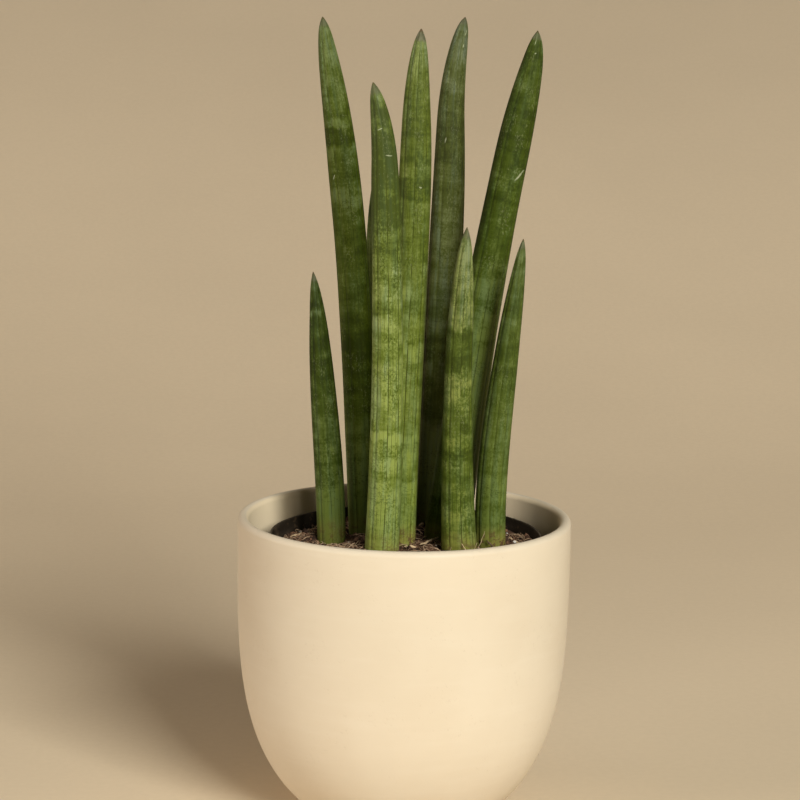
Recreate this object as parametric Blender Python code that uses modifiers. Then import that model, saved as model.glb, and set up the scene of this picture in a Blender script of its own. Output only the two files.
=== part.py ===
"""Potted cylindrical snake plant: cover pot, nursery pot, soil and nine leaves.

Metres, +Z up. The origin is the centre of the cover pot's foot, on the surface that the
pot stands on, and the front of the plant faces -Y.
"""
import math
from dataclasses import dataclass

import bmesh
import bpy
from mathutils import Matrix, Vector, noise

MM = 0.001
SEGMENTS = 52            # sides of every turned piece; a multiple of four, so X and Y reach the radius
GAP = 0.3 * MM           # clearance between pieces that touch
MERGE = 0.01 * MM

# Cover pot: a straight-sided bowl that draws in to a flat foot.
COVER_HEIGHT = 136.0 * MM
COVER_RADIUS = 75.0 * MM
COVER_WALL = 5.0 * MM
COVER_FLOOR = 8.0 * MM
COVER_CURVE_DEPTH = 148.0 * MM   # depth below the rim where the side's curve would close
COVER_CURVE_POWER = 3.94         # how late and how sharply the side draws in
COVER_SIDE_STEPS = 9
COVER_STEP_CROWDING = 0.6        # below 1, the steps crowd toward the foot
FLOOR_CORNER = 1.5 * MM          # width of the slope between the inner wall and the floor
FLOOR_CORNER_RISE = 0.5 * MM     # least height of that slope
FOOT_EDGE = 1.5 * MM
FOOT_RECESS_RADIUS = 33.0 * MM   # unglazed middle of the foot, set up from the surface
FOOT_RECESS = 1.2 * MM

# Nursery pot: a thin moulded tub with a stepped rim band, standing on the cover pot's floor.
NURSERY_CENTRE_X = 0.8 * MM
NURSERY_RIM_DROP = 8.5 * MM      # its rim lies this far below the cover pot's
NURSERY_RIM_RADIUS = 61.4 * MM
NURSERY_BAND_HEIGHT = 14.0 * MM
NURSERY_BAND_STEP = 1.4 * MM
NURSERY_BAND_FLARE = 0.4 * MM    # how much the band opens out over its height
NURSERY_BASE_RADIUS = 41.5 * MM
NURSERY_CORNER = 2.5 * MM
NURSERY_WALL = 1.2 * MM
DRAIN_HOLES = 6
DRAIN_RADIUS = 3.5 * MM
DRAIN_CIRCLE = 30.0 * MM
DRAIN_TURN = 32.0         # degrees of the first hole from +X

# Soil: heaped a little round the leaves, lower at the wall.
SOIL_DROP = 12.5 * MM            # mean surface at the leaves, below the cover pot's rim
SOIL_FALL = 3.0 * MM             # how much lower it is at the wall
SOIL_RING_STEP = 4.0 * MM
SOIL_LUMP_HEIGHT = 1.5 * MM
SOIL_LUMP_SIZE = 13.0 * MM
SOIL_CRUMB_HEIGHT = 0.9 * MM
SOIL_CRUMB_SIZE = 6.0 * MM

# Leaves: round in section with shallow lengthwise grooves, sunk in the soil.
LEAF_GROOVES = 8
SIDES_PER_GROOVE = 3
LEAF_SIDES = LEAF_GROOVES * SIDES_PER_GROOVE
GROOVE_DEPTH = 0.35 * MM
GROOVE_SHARE = 0.1               # most of a thin ring's radius that a groove takes
LEAF_SUNK = 28.0 * MM
LEAF_RING_STEP = 12.5 * MM
TIP_CROWDING = 1.5               # above 1, rings crowd toward the point
SUNK_RINGS = 2
SOCKET_RISE = 14.0 * MM          # how far a socket's cutter stands above the soil


@dataclass(frozen=True)
class Leaf:
    """One leaf's driving dimensions, in millimetres and degrees.

    foot is where the centre line leaves the soil; tip is the point, with its height above
    the cover pot's rim. The leans are the centre line's slopes to the right of upright. The
    point is drawn sideways by hook over the last hook_reach. girth is the radius at the
    shoulder and foot_girth at the soil; taper is the length over which the leaf narrows to
    its point, and bluntness the power of that narrowing. turn is how far to the right of
    the front one of its grooves lies.
    """

    foot: tuple
    tip: tuple
    foot_lean: float
    tip_lean: float
    hook: float
    hook_reach: float
    girth: float
    foot_girth: float
    taper: float
    bluntness: float
    turn: float


LEAVES = {
    "leaf_tall_left": Leaf((-17.6, 22), (-40.1, 27, 220.7), -3.3, -11.9, 0.8, 24, 7.05, 7.8, 90, 0.47, 15),
    "leaf_short_left": Leaf((-33.1, 12), (-42.5, 8, 108.6), -1.4, -2.2, -1.3, 29, 7.25, 6.5, 119, 0.56, 5),
    "leaf_front_left": Leaf((-9.9, -18), (-16.5, -23, 194.7), 2.4, -3.1, -3.8, 36, 6.2, 7.65, 59, 0.48, 5),
    "leaf_back_left": Leaf((-5.7, 37), (-14.6, 40, 152.4), -4.9, -11.5, 6.0, 65, 6.45, 6.75, 66, 0.57, -10),
    "leaf_tall_centre": Leaf((-2.3, -1), (4.0, 3, 216.9), 1.1, -1.5, 2.0, 41, 7.25, 7.45, 77, 0.48, 0),
    "leaf_back_right": Leaf((12.4, 41), (24.0, 50, 220.8), 1.9, -1.2, 6.0, 48, 7.9, 7.9, 129, 0.42, 20),
    "leaf_tall_right": Leaf((19.5, 11), (55.7, 20, 216.3), 6.1, 12.8, -1.2, 20, 7.2, 10.5, 57, 0.54, 10),
    "leaf_front_right": Leaf((24.8, -15), (25.2, -19, 132.5), -4.5, -5.0, 4.9, 70, 5.35, 7.9, 53, 0.56, 10),
    "leaf_short_right": Leaf((38.8, -3), (50.4, -6, 126.4), -2.5, 2.6, 1.7, 51, 6.9, 6.95, 127, 0.53, -5),
}
LEAF_GREEN = {
    "leaf_tall_left": (0.10, 0.13, 0.035),
    "leaf_short_left": (0.09, 0.12, 0.03),
    "leaf_front_left": (0.15, 0.19, 0.055),
    "leaf_back_left": (0.12, 0.16, 0.05),
    "leaf_tall_centre": (0.16, 0.20, 0.06),
    "leaf_back_right": (0.11, 0.12, 0.045),
    "leaf_tall_right": (0.09, 0.12, 0.03),
    "leaf_front_right": (0.17, 0.19, 0.055),
    "leaf_short_right": (0.11, 0.14, 0.04),
}


def clear_scene():
    """Remove the objects of a new Blender file."""
    for item in list(bpy.data.objects):
        bpy.data.objects.remove(item, do_unlink=True)


def new_collection(name):
    """Make a collection in the scene."""
    made = bpy.data.collections.new(name)
    bpy.context.scene.collection.children.link(made)
    return made


def principled(name, colour, roughness, metallic=0.0):
    """Make a plain Principled material."""
    material = bpy.data.materials.new(name)
    material.use_nodes = True
    shader = material.node_tree.nodes["Principled BSDF"]
    shader.inputs["Base Color"].default_value = (*colour, 1.0)
    shader.inputs["Roughness"].default_value = roughness
    shader.inputs["Metallic"].default_value = metallic
    return material


def mesh_object(name, bm, collection, material=None):
    """Turn a bmesh into an object with its faces pointing out."""
    bmesh.ops.recalc_face_normals(bm, faces=bm.faces)
    mesh = bpy.data.meshes.new(name)
    bm.to_mesh(mesh)
    bm.free()
    item = bpy.data.objects.new(name, mesh)
    collection.objects.link(item)
    if material is not None:
        mesh.materials.append(material)
    return item


def apply_modifiers(item):
    """Replace an object's mesh with its evaluated one."""
    graph = bpy.context.evaluated_depsgraph_get()
    baked = bpy.data.meshes.new_from_object(item.evaluated_get(graph))
    item.modifiers.clear()
    item.data = baked


def smooth(item, degrees=35.0):
    """Shade round faces smooth and keep real edges sharp."""
    item.data.shade_smooth()
    item.data.set_sharp_from_angle(angle=math.radians(degrees))


def turned(name, profile, collection, material):
    """Turn a profile of (radius, height) pairs about the upright axis."""
    mesh = bpy.data.meshes.new(name)
    points = [(radius, 0.0, height) for radius, height in profile]
    mesh.from_pydata(points, [(i, i + 1) for i in range(len(points) - 1)], [])
    item = bpy.data.objects.new(name, mesh)
    collection.objects.link(item)
    mesh.materials.append(material)
    screw = item.modifiers.new("turn", "SCREW")
    screw.axis = "Z"
    screw.angle = 2 * math.pi
    screw.steps = SEGMENTS
    screw.render_steps = SEGMENTS
    screw.use_merge_vertices = True
    screw.merge_threshold = MERGE
    screw.use_smooth_shade = True
    return item


def cut(item, cutter):
    """Cut one closed object out of another with an exact Boolean."""
    boolean = item.modifiers.new("cut_" + cutter.name, "BOOLEAN")
    boolean.operation = "DIFFERENCE"
    boolean.solver = "EXACT"
    boolean.object = cutter
    cutter.display_type = "WIRE"
    cutter.hide_render = True


def arc(centre, radius, start, end, steps):
    """Points of a circular arc, angles in degrees from +radius toward +height."""
    points = []
    for i in range(steps + 1):
        angle = math.radians(start + (end - start) * i / steps)
        points.append((centre[0] + radius * math.cos(angle), centre[1] + radius * math.sin(angle)))
    return points


def cover_side(depth):
    """Outer radius of the cover pot at a depth below its rim, and the inward normal there."""
    closed = (depth / COVER_CURVE_DEPTH) ** COVER_CURVE_POWER
    radius = COVER_RADIUS * math.sqrt(1.0 - closed)
    slope = 0.0
    if depth > 0.0:
        slope = COVER_RADIUS * COVER_RADIUS * COVER_CURVE_POWER * closed / (2.0 * depth * radius)
    length = math.hypot(1.0, slope)
    return radius, (-1.0 / length, slope / length)


def cover_profile():
    """Cover pot, from the middle of its inner floor over the lip to the middle of its foot."""
    lip = COVER_WALL / 2
    depths = []
    for i in range(COVER_SIDE_STEPS + 1):
        share = (i / COVER_SIDE_STEPS) ** COVER_STEP_CROWDING
        depths.append(lip + (COVER_HEIGHT - FOOT_EDGE - lip) * share)
    inner = []
    for depth in depths[1:]:
        radius, normal = cover_side(depth)
        height = COVER_HEIGHT - depth + COVER_WALL * normal[1]
        if height > COVER_FLOOR + FLOOR_CORNER_RISE:
            inner.append((radius + COVER_WALL * normal[0], height))
    floor_corner = (inner[-1][0] - FLOOR_CORNER, COVER_FLOOR)
    lip_centre = (COVER_RADIUS - lip, COVER_HEIGHT - lip)
    points = [(0.0, COVER_FLOOR), floor_corner] + inner[::-1]
    points += arc(lip_centre, lip, 180.0, 0.0, 4)
    points += [(cover_side(depth)[0], COVER_HEIGHT - depth) for depth in depths[1:]]
    foot_radius = cover_side(COVER_HEIGHT)[0]
    points += [(foot_radius, 0.0)]
    points += [(FOOT_RECESS_RADIUS, 0.0), (FOOT_RECESS_RADIUS - FOOT_RECESS, FOOT_RECESS)]
    points += [(0.0, FOOT_RECESS)]
    return points


def nursery_wall():
    """Outer line of the nursery pot's wall, from the base corner up to the rim's edge."""
    base = COVER_FLOOR + GAP
    rim = COVER_HEIGHT - NURSERY_RIM_DROP
    band = rim - NURSERY_BAND_HEIGHT
    side_top = NURSERY_RIM_RADIUS - NURSERY_BAND_FLARE - NURSERY_BAND_STEP
    corner = (NURSERY_BASE_RADIUS - NURSERY_CORNER, base + NURSERY_CORNER)
    points = arc(corner, NURSERY_CORNER, -90.0, -8.0, 3)
    points += [(side_top, band), (side_top + NURSERY_BAND_STEP, band + NURSERY_BAND_STEP)]
    points += [(NURSERY_RIM_RADIUS, rim)]
    return points


def nursery_pot(collection, cutters, material):
    """Thin tub: an open turned skin, thickened inward, with drain holes in its base."""
    wall = nursery_wall()
    profile = wall[::-1] + [(0.0, wall[0][1])]
    item = turned("nursery_pot", profile, collection, material)
    shell = item.modifiers.new("wall", "SOLIDIFY")
    shell.thickness = NURSERY_WALL
    shell.offset = -1.0
    shell.use_even_offset = True
    for i in range(DRAIN_HOLES):
        angle = math.radians(DRAIN_TURN + 360.0 * i / DRAIN_HOLES)
        bm = bmesh.new()
        place = Matrix.Translation((
            DRAIN_CIRCLE * math.cos(angle), DRAIN_CIRCLE * math.sin(angle), wall[0][1]))
        bmesh.ops.create_cone(bm, cap_ends=True, segments=12, radius1=DRAIN_RADIUS,
                              radius2=DRAIN_RADIUS, depth=4 * NURSERY_WALL, matrix=place)
        hole = mesh_object("drain_%d" % i, bm, cutters)
        cut(item, hole)
    apply_modifiers(item)
    item.data.transform(Matrix.Translation((NURSERY_CENTRE_X, 0.0, 0.0)))
    smooth(item)
    return item


def soil_height(x, y):
    """Height of the soil: a low heap with lumps and crumbs."""
    out = min(1.0, math.hypot(x, y) / NURSERY_RIM_RADIUS)
    heap = COVER_HEIGHT - SOIL_DROP - SOIL_FALL * out ** 3
    lumps = noise.noise(Vector((x / SOIL_LUMP_SIZE, y / SOIL_LUMP_SIZE, 2.5)))
    crumbs = noise.noise(Vector((x / SOIL_CRUMB_SIZE, y / SOIL_CRUMB_SIZE, 7.5)))
    return heap + SOIL_LUMP_HEIGHT * lumps + SOIL_CRUMB_HEIGHT * crumbs


def inset(line, distance):
    """Move a line of (radius, height) pairs toward its left, keeping its corners sharp."""
    moved = []
    for i, point in enumerate(line):
        before = Vector(point) - Vector(line[max(i - 1, 0)])
        after = Vector(line[min(i + 1, len(line) - 1)]) - Vector(point)
        if i == 0:
            before = after
        if i == len(line) - 1:
            after = before
        normal_before = Vector((-before.y, before.x)).normalized()
        normal_after = Vector((-after.y, after.x)).normalized()
        middle = (normal_before + normal_after).normalized()
        moved.append(Vector(point) + middle * distance / middle.dot(normal_before))
    return moved


def soil_profile():
    """Soil, from the middle of its top out to the wall, down it and in along the base."""
    wall = nursery_wall()
    wall = inset([(0.0, wall[0][1])] + wall, NURSERY_WALL + GAP)
    edge_radius = wall[-2].x
    rings = int(edge_radius / SOIL_RING_STEP)
    top = COVER_HEIGHT - SOIL_DROP
    points = [(edge_radius * i / rings, top) for i in range(rings + 1)]
    points += [tuple(point) for point in wall[-2:0:-1]]
    points += [(0.0, wall[0].y)]
    return points


def soil(collection, cutters, material):
    """Soil plug with a relief top and one plain socket for each leaf."""
    item = turned("soil", soil_profile(), collection, material)
    apply_modifiers(item)
    top = COVER_HEIGHT - SOIL_DROP
    for vertex in item.data.vertices:
        if abs(vertex.co.z - top) < MERGE:
            vertex.co.z = soil_height(vertex.co.x, vertex.co.y)
    item.data.transform(Matrix.Translation((NURSERY_CENTRE_X, 0.0, 0.0)))
    for name, leaf in LEAVES.items():
        cut(item, socket(name, leaf, cutters))
    apply_modifiers(item)
    smooth(item, 50.0)
    return item


def socket(name, leaf, cutters):
    """Round cutter a little wider than a leaf's foot, along the way the leaf goes down."""
    foot, down = leaf_foot(leaf)
    low = foot + down * (LEAF_SUNK + GAP)
    high = foot - down * SOCKET_RISE
    turn = (high - low).to_track_quat("Z", "Y").to_matrix().to_4x4()
    place = Matrix.Translation((low + high) / 2) @ turn
    radius = (leaf.foot_girth * MM + GAP) / math.cos(math.pi / LEAF_SIDES)
    bm = bmesh.new()
    bmesh.ops.create_cone(bm, cap_ends=True, segments=LEAF_SIDES, radius1=radius,
                          radius2=radius, depth=(high - low).length, matrix=place)
    return mesh_object("socket_" + name, bm, cutters)


def leaf_ends(leaf):
    """Foot and point of a leaf in metres, the point before its hook is added."""
    foot = Vector((leaf.foot[0] * MM, leaf.foot[1] * MM, COVER_HEIGHT - SOIL_DROP))
    tip = Vector(((leaf.tip[0] - leaf.hook) * MM, leaf.tip[1] * MM, COVER_HEIGHT + leaf.tip[2] * MM))
    return foot, tip


def lean_direction(degrees, slope_y):
    """Unit direction that leans sideways by an angle and back by a slope."""
    angle = math.radians(degrees)
    return Vector((math.sin(angle), slope_y, math.cos(angle))).normalized()


def leaf_foot(leaf):
    """Foot of a leaf and the direction in which it goes down into the soil."""
    foot, tip = leaf_ends(leaf)
    slope = (tip.y - foot.y) / (tip - foot).length
    return foot, -lean_direction(leaf.foot_lean, slope)


def leaf_line(leaf, share):
    """Point of a leaf's centre line, share 0 at the soil and 1 at the point."""
    foot, tip = leaf_ends(leaf)
    reach = (tip - foot).length / 3
    slope = (tip.y - foot.y) / (tip - foot).length
    rise = foot + lean_direction(leaf.foot_lean, slope) * reach
    fall = tip - lean_direction(leaf.tip_lean, slope) * reach
    rest = 1.0 - share
    point = foot * rest ** 3 + rise * (3 * rest ** 2 * share)
    point += fall * (3 * rest * share ** 2) + tip * share ** 3
    from_tip = (tip - foot).length * rest
    drawn = max(0.0, 1.0 - from_tip / (leaf.hook_reach * MM))
    point.x += leaf.hook * MM * drawn ** 2
    return point


def leaf_radius(leaf, from_tip, length):
    """Radius of a leaf at a distance from its point."""
    closing = min(1.0, from_tip / (leaf.taper * MM))
    point = (1.0 - (1.0 - closing) ** 2) ** leaf.bluntness
    body = leaf.girth + (leaf.foot_girth - leaf.girth) * (from_tip / length) ** 1.5
    return body * point * MM


def leaf_rings(leaf):
    """Centres, directions and radii of a leaf's rings, from its sunk end to near its point."""
    foot, down = leaf_foot(leaf)
    length = (leaf_line(leaf, 1.0) - foot).length
    rings = []
    for i in range(SUNK_RINGS):
        depth = LEAF_SUNK * (1.0 - i / SUNK_RINGS)
        rings.append((foot + down * depth, -down, leaf.foot_girth * MM))
    count = round(length / LEAF_RING_STEP)
    for i in range(count):
        share = 1.0 - (1.0 - i / count) ** TIP_CROWDING
        here = leaf_line(leaf, share)
        ahead = (leaf_line(leaf, share + 0.002) - here).normalized()
        rings.append((here, ahead, leaf_radius(leaf, (1.0 - share) * length, length)))
    return rings


def ring_points(leaf, centre, ahead, radius):
    """Section of a leaf: round, with a shallow groove at every few points."""
    side = Vector((1.0, 0.0, 0.0))
    across = ahead.cross(side).normalized()
    side = across.cross(ahead)
    depth = min(GROOVE_DEPTH, radius * GROOVE_SHARE)
    front = math.radians(leaf.turn - 90.0)
    points = []
    for i in range(LEAF_SIDES):
        angle = front + 2 * math.pi * i / LEAF_SIDES
        reach = radius
        if i % SIDES_PER_GROOVE == 0:
            reach = radius - depth
        points.append(centre + (side * math.cos(angle) + across * math.sin(angle)) * reach)
    return points


def leaf_solid(name, leaf, collection, material):
    """Loft one leaf ring by ring, and close it at its point."""
    bm = bmesh.new()
    rings = leaf_rings(leaf)
    first = bmesh.ops.create_circle(bm, cap_ends=True, segments=LEAF_SIDES, radius=1.0)["verts"]
    for vertex, point in zip(first, ring_points(leaf, *rings[0])):
        vertex.co = point
    loop = list(first)
    for ring in rings[1:] + [None]:
        edges = [bm.edges.get((loop[i - 1], loop[i])) for i in range(len(loop))]
        grown = bmesh.ops.extrude_edge_only(bm, edges=edges)["geom"]
        new = {item for item in grown if isinstance(item, bmesh.types.BMVert)}
        loop = [next(e.other_vert(v) for e in v.link_edges if e.other_vert(v) in new) for v in loop]
        if ring is not None:
            for vertex, point in zip(loop, ring_points(leaf, *ring)):
                vertex.co = point
    bmesh.ops.pointmerge(bm, verts=loop, merge_co=leaf_line(leaf, 1.0))
    item = mesh_object(name, bm, collection, material)
    smooth(item, 60.0)
    return item


def main():
    """Build every piece of the potted plant."""
    clear_scene()
    plant = new_collection("cylindrical_snake_plant")
    cutters = new_collection("cutters")
    clay = principled("cover_pot", (0.78, 0.68, 0.51), 0.6)
    cover = turned("cover_pot", cover_profile(), plant, clay)
    apply_modifiers(cover)
    smooth(cover)
    nursery_pot(plant, cutters, principled("nursery_pot", (0.012, 0.010, 0.008), 0.45))
    soil(plant, cutters, principled("soil", (0.055, 0.032, 0.018), 0.95))
    for name, leaf in LEAVES.items():
        leaf_solid(name, leaf, plant, principled(name, LEAF_GREEN[name], 0.5))
    for cutter in list(cutters.objects):
        bpy.data.objects.remove(cutter, do_unlink=True)
    bpy.data.collections.remove(cutters)


main()
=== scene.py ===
"""Looks of the potted cylindrical snake plant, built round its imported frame.

Each class below is one sub-assembly: the cream cover pot, the black nursery pot, the soil
with its litter, the nine leaves and the studio. The plant's lengths are in millimetres, the
studio's in metres, and angles in degrees; meshes are made in metres, with +Z up and the
front facing -Y.
"""
from __future__ import annotations

import logging
import math
import random
from dataclasses import dataclass, field
from enum import Enum
from typing import Iterable, Sequence

import bmesh
import bpy
import numpy as np
from mathutils import Matrix, Vector, noise

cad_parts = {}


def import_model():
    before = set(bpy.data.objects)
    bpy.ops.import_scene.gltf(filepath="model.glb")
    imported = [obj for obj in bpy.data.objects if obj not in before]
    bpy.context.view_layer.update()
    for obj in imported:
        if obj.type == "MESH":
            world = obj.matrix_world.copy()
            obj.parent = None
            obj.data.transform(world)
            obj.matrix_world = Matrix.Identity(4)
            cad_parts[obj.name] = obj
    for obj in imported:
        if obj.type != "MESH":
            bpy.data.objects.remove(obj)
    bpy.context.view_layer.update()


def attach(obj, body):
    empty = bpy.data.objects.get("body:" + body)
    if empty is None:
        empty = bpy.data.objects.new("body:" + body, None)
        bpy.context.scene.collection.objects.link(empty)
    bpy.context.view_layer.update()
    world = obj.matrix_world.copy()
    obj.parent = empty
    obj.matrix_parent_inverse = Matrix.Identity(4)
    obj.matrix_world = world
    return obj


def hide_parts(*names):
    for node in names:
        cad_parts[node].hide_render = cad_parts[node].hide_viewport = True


LOG = logging.getLogger("snake_plant")
MM = 0.001
BODY = "root"
Colour = tuple[float, float, float]
Point = tuple[float, float, float]
Span = tuple[float, float]

# The cover pot's rim above its foot, the soil below that rim, and how far to the right of the
# cover pot's axis the nursery pot stands. The last is the angle that shades a mesh all smooth.
RIM_HEIGHT = 136.0
SOIL_DROP = 12.5
NURSERY_SHIFT = 0.8
ALL_SMOOTH = 180.0


def metres(span: Span) -> Span:
    """Both ends of a span in millimetres, in metres."""
    return span[0] * MM, span[1] * MM


# ---------------------------------------------------------------- node building


@dataclass(frozen=True)
class Pattern:
    """A noise pattern: repeats per metre across and along, octaves, and strength of the finer ones."""

    across: float
    along: float
    detail: float = 2.0
    rough: float = 0.5


@dataclass(frozen=True)
class Dots:
    """Small dots in patches: dots per metre, how thickly they lie, and patches per metre."""

    scale: float
    amount: float
    patch_scale: float


class Sheet:
    """One node tree and the few calls that fill it."""

    def __init__(self, tree: bpy.types.NodeTree) -> None:
        """Start on a tree.

        Args:
            tree: The node tree to fill.
        """
        self.tree = tree

    def feed(self, socket: bpy.types.NodeSocket, value: object) -> None:
        """Link a socket to another one, or set its value.

        Args:
            socket: The input to feed.
            value: An output socket, or a plain value.
        """
        if isinstance(value, bpy.types.NodeSocket):
            self.tree.links.new(value, socket)
        else:
            socket.default_value = value

    def add(self, kind: str, inputs: dict | None = None, **settings: object) -> bpy.types.Node:
        """Add a node.

        Args:
            kind: The node's type.
            inputs: Input names or numbers and what feeds them.
            **settings: The node's own properties.

        Returns:
            The new node.
        """
        node = self.tree.nodes.new(kind)
        node.location = (220.0 * (len(self.tree.nodes) % 12), -260.0 * (len(self.tree.nodes) // 12))
        for name, value in settings.items():
            setattr(node, name, value)
        for name, value in (inputs or {}).items():
            self.feed(node.inputs[name], value)
        return node

    def math(self, operation: str, a: object, b: object = 0.0, c: object = None, clamp: bool = False
             ) -> bpy.types.NodeSocket:
        """Add a Math node.

        Args:
            operation: Its operation.
            a: First value or socket.
            b: Second value or socket.
            c: Third value or socket, for the operations that take one.
            clamp: Whether the result is kept between 0 and 1.

        Returns:
            The result.
        """
        inputs = {0: a, 1: b} if c is None else {0: a, 1: b, 2: c}
        return self.add("ShaderNodeMath", inputs, operation=operation, use_clamp=clamp).outputs[0]

    def plus(self, a: object, b: object) -> bpy.types.NodeSocket:
        """Add two values or sockets."""
        return self.math("ADD", a, b)

    def minus(self, a: object, b: object) -> bpy.types.NodeSocket:
        """Take the second value or socket from the first."""
        return self.math("SUBTRACT", a, b)

    def times(self, first: object, *others: object) -> bpy.types.NodeSocket:
        """Multiply values or sockets.

        Args:
            first: The first one.
            *others: The rest.

        Returns:
            The product.
        """
        for other in others:
            first = self.math("MULTIPLY", first, other)
        return first

    def swing(self, pattern: object, reach: object, middle: float = 0.5) -> bpy.types.NodeSocket:
        """Let a pattern swing about 0.

        Args:
            pattern: The pattern, 0 to 1.
            reach: What it is multiplied by.
            middle: Its value that becomes 0.

        Returns:
            The result.
        """
        return self.times(self.minus(pattern, middle), reach)

    def ramp(self, value: object, low: float, high: float, to_low: float = 0.0, to_high: float = 1.0
             ) -> bpy.types.NodeSocket:
        """Map a value smoothly from one range to another.

        Args:
            value: The value or socket.
            low: Start of its range.
            high: End of its range.
            to_low: Result at low.
            to_high: Result at high.

        Returns:
            The result.
        """
        inputs = {"Value": value, "From Min": low, "From Max": high, "To Min": to_low, "To Max": to_high}
        return self.add("ShaderNodeMapRange", inputs, interpolation_type="SMOOTHSTEP").outputs[0]

    def mix(self, factor: object, a: object, b: object, blend: str = "MIX") -> bpy.types.NodeSocket:
        """Mix two colours.

        Args:
            factor: Share of the second one.
            a: First colour or socket.
            b: Second colour or socket.
            blend: How the second is laid on the first.

        Returns:
            The mixed colour.
        """
        node = self.add("ShaderNodeMix", data_type="RGBA", blend_type=blend)
        for number, value in ((0, factor), (6, a), (7, b)):
            if isinstance(value, tuple):
                value = (*value, 1.0)
            self.feed(node.inputs[number], value)
        return node.outputs[2]

    def tint(self, colour: object, by: object) -> bpy.types.NodeSocket:
        """Multiply a colour or socket by another, channel by channel."""
        return self.mix(1.0, colour, by, "MULTIPLY")

    def noise(self, vector: object, scale: object, detail: float = 2.0, rough: float = 0.5
              ) -> bpy.types.NodeSocket:
        """Add a noise pattern.

        Args:
            vector: Where it is read.
            scale: Repeats per metre, or a socket that gives them.
            detail: Octaves.
            rough: Strength of the finer octaves.

        Returns:
            The pattern's value.
        """
        inputs = {"Vector": vector, "Scale": scale, "Detail": detail, "Roughness": rough}
        return self.add("ShaderNodeTexNoise", inputs).outputs["Fac"]

    def vector(self, operation: str, a: object, b: object) -> bpy.types.NodeSocket:
        """Add a Vector Math node that takes two vectors or sockets."""
        return self.add("ShaderNodeVectorMath", {0: a, 1: b}, operation=operation).outputs[0]

    def stretch(self, vector: object, across: float, along: float) -> bpy.types.NodeSocket:
        """Scale a vector by one number in X and Y and by another in Z."""
        return self.vector("MULTIPLY", vector, (across, across, along))

    def grain(self, vector: object, pattern: Pattern) -> bpy.types.NodeSocket:
        """Add a noise pattern with its own scale along +Z."""
        stretched = self.stretch(vector, pattern.across, pattern.along)
        return self.noise(stretched, 1.0, pattern.detail, pattern.rough)

    def group(self, tree: bpy.types.NodeTree, inputs: dict) -> bpy.types.Node:
        """Place a node group.

        Args:
            tree: The group.
            inputs: Its input names and what feeds them.

        Returns:
            The group's node.
        """
        node = self.add("ShaderNodeGroup", node_tree=tree)
        for name, value in inputs.items():
            if isinstance(value, tuple) and node.inputs[name].type == "RGBA":
                value = (*value, 1.0)
            self.feed(node.inputs[name], value)
        return node


def new_group(name: str, inputs: dict[str, object], outputs: dict[str, str]
              ) -> tuple[Sheet, bpy.types.Node, bpy.types.Node]:
    """Start a shader node group.

    Args:
        name: The group's name.
        inputs: Input names with their defaults: a number, a vector, or a colour where the name
            ends in Colour.
        outputs: Output names with their socket types.

    Returns:
        The group's sheet, its input node and its output node.
    """
    tree = bpy.data.node_groups.new(name, "ShaderNodeTree")
    for label, default in inputs.items():
        kind = "NodeSocketFloat"
        if isinstance(default, tuple):
            kind = "NodeSocketColor" if label.endswith("Colour") else "NodeSocketVector"
        socket = tree.interface.new_socket(name=label, in_out="INPUT", socket_type=kind)
        socket.default_value = (*default, 1.0) if kind == "NodeSocketColor" else default
    for label, kind in outputs.items():
        tree.interface.new_socket(name=label, in_out="OUTPUT", socket_type=kind)
    sheet = Sheet(tree)
    return sheet, sheet.add("NodeGroupInput"), sheet.add("NodeGroupOutput")


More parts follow.
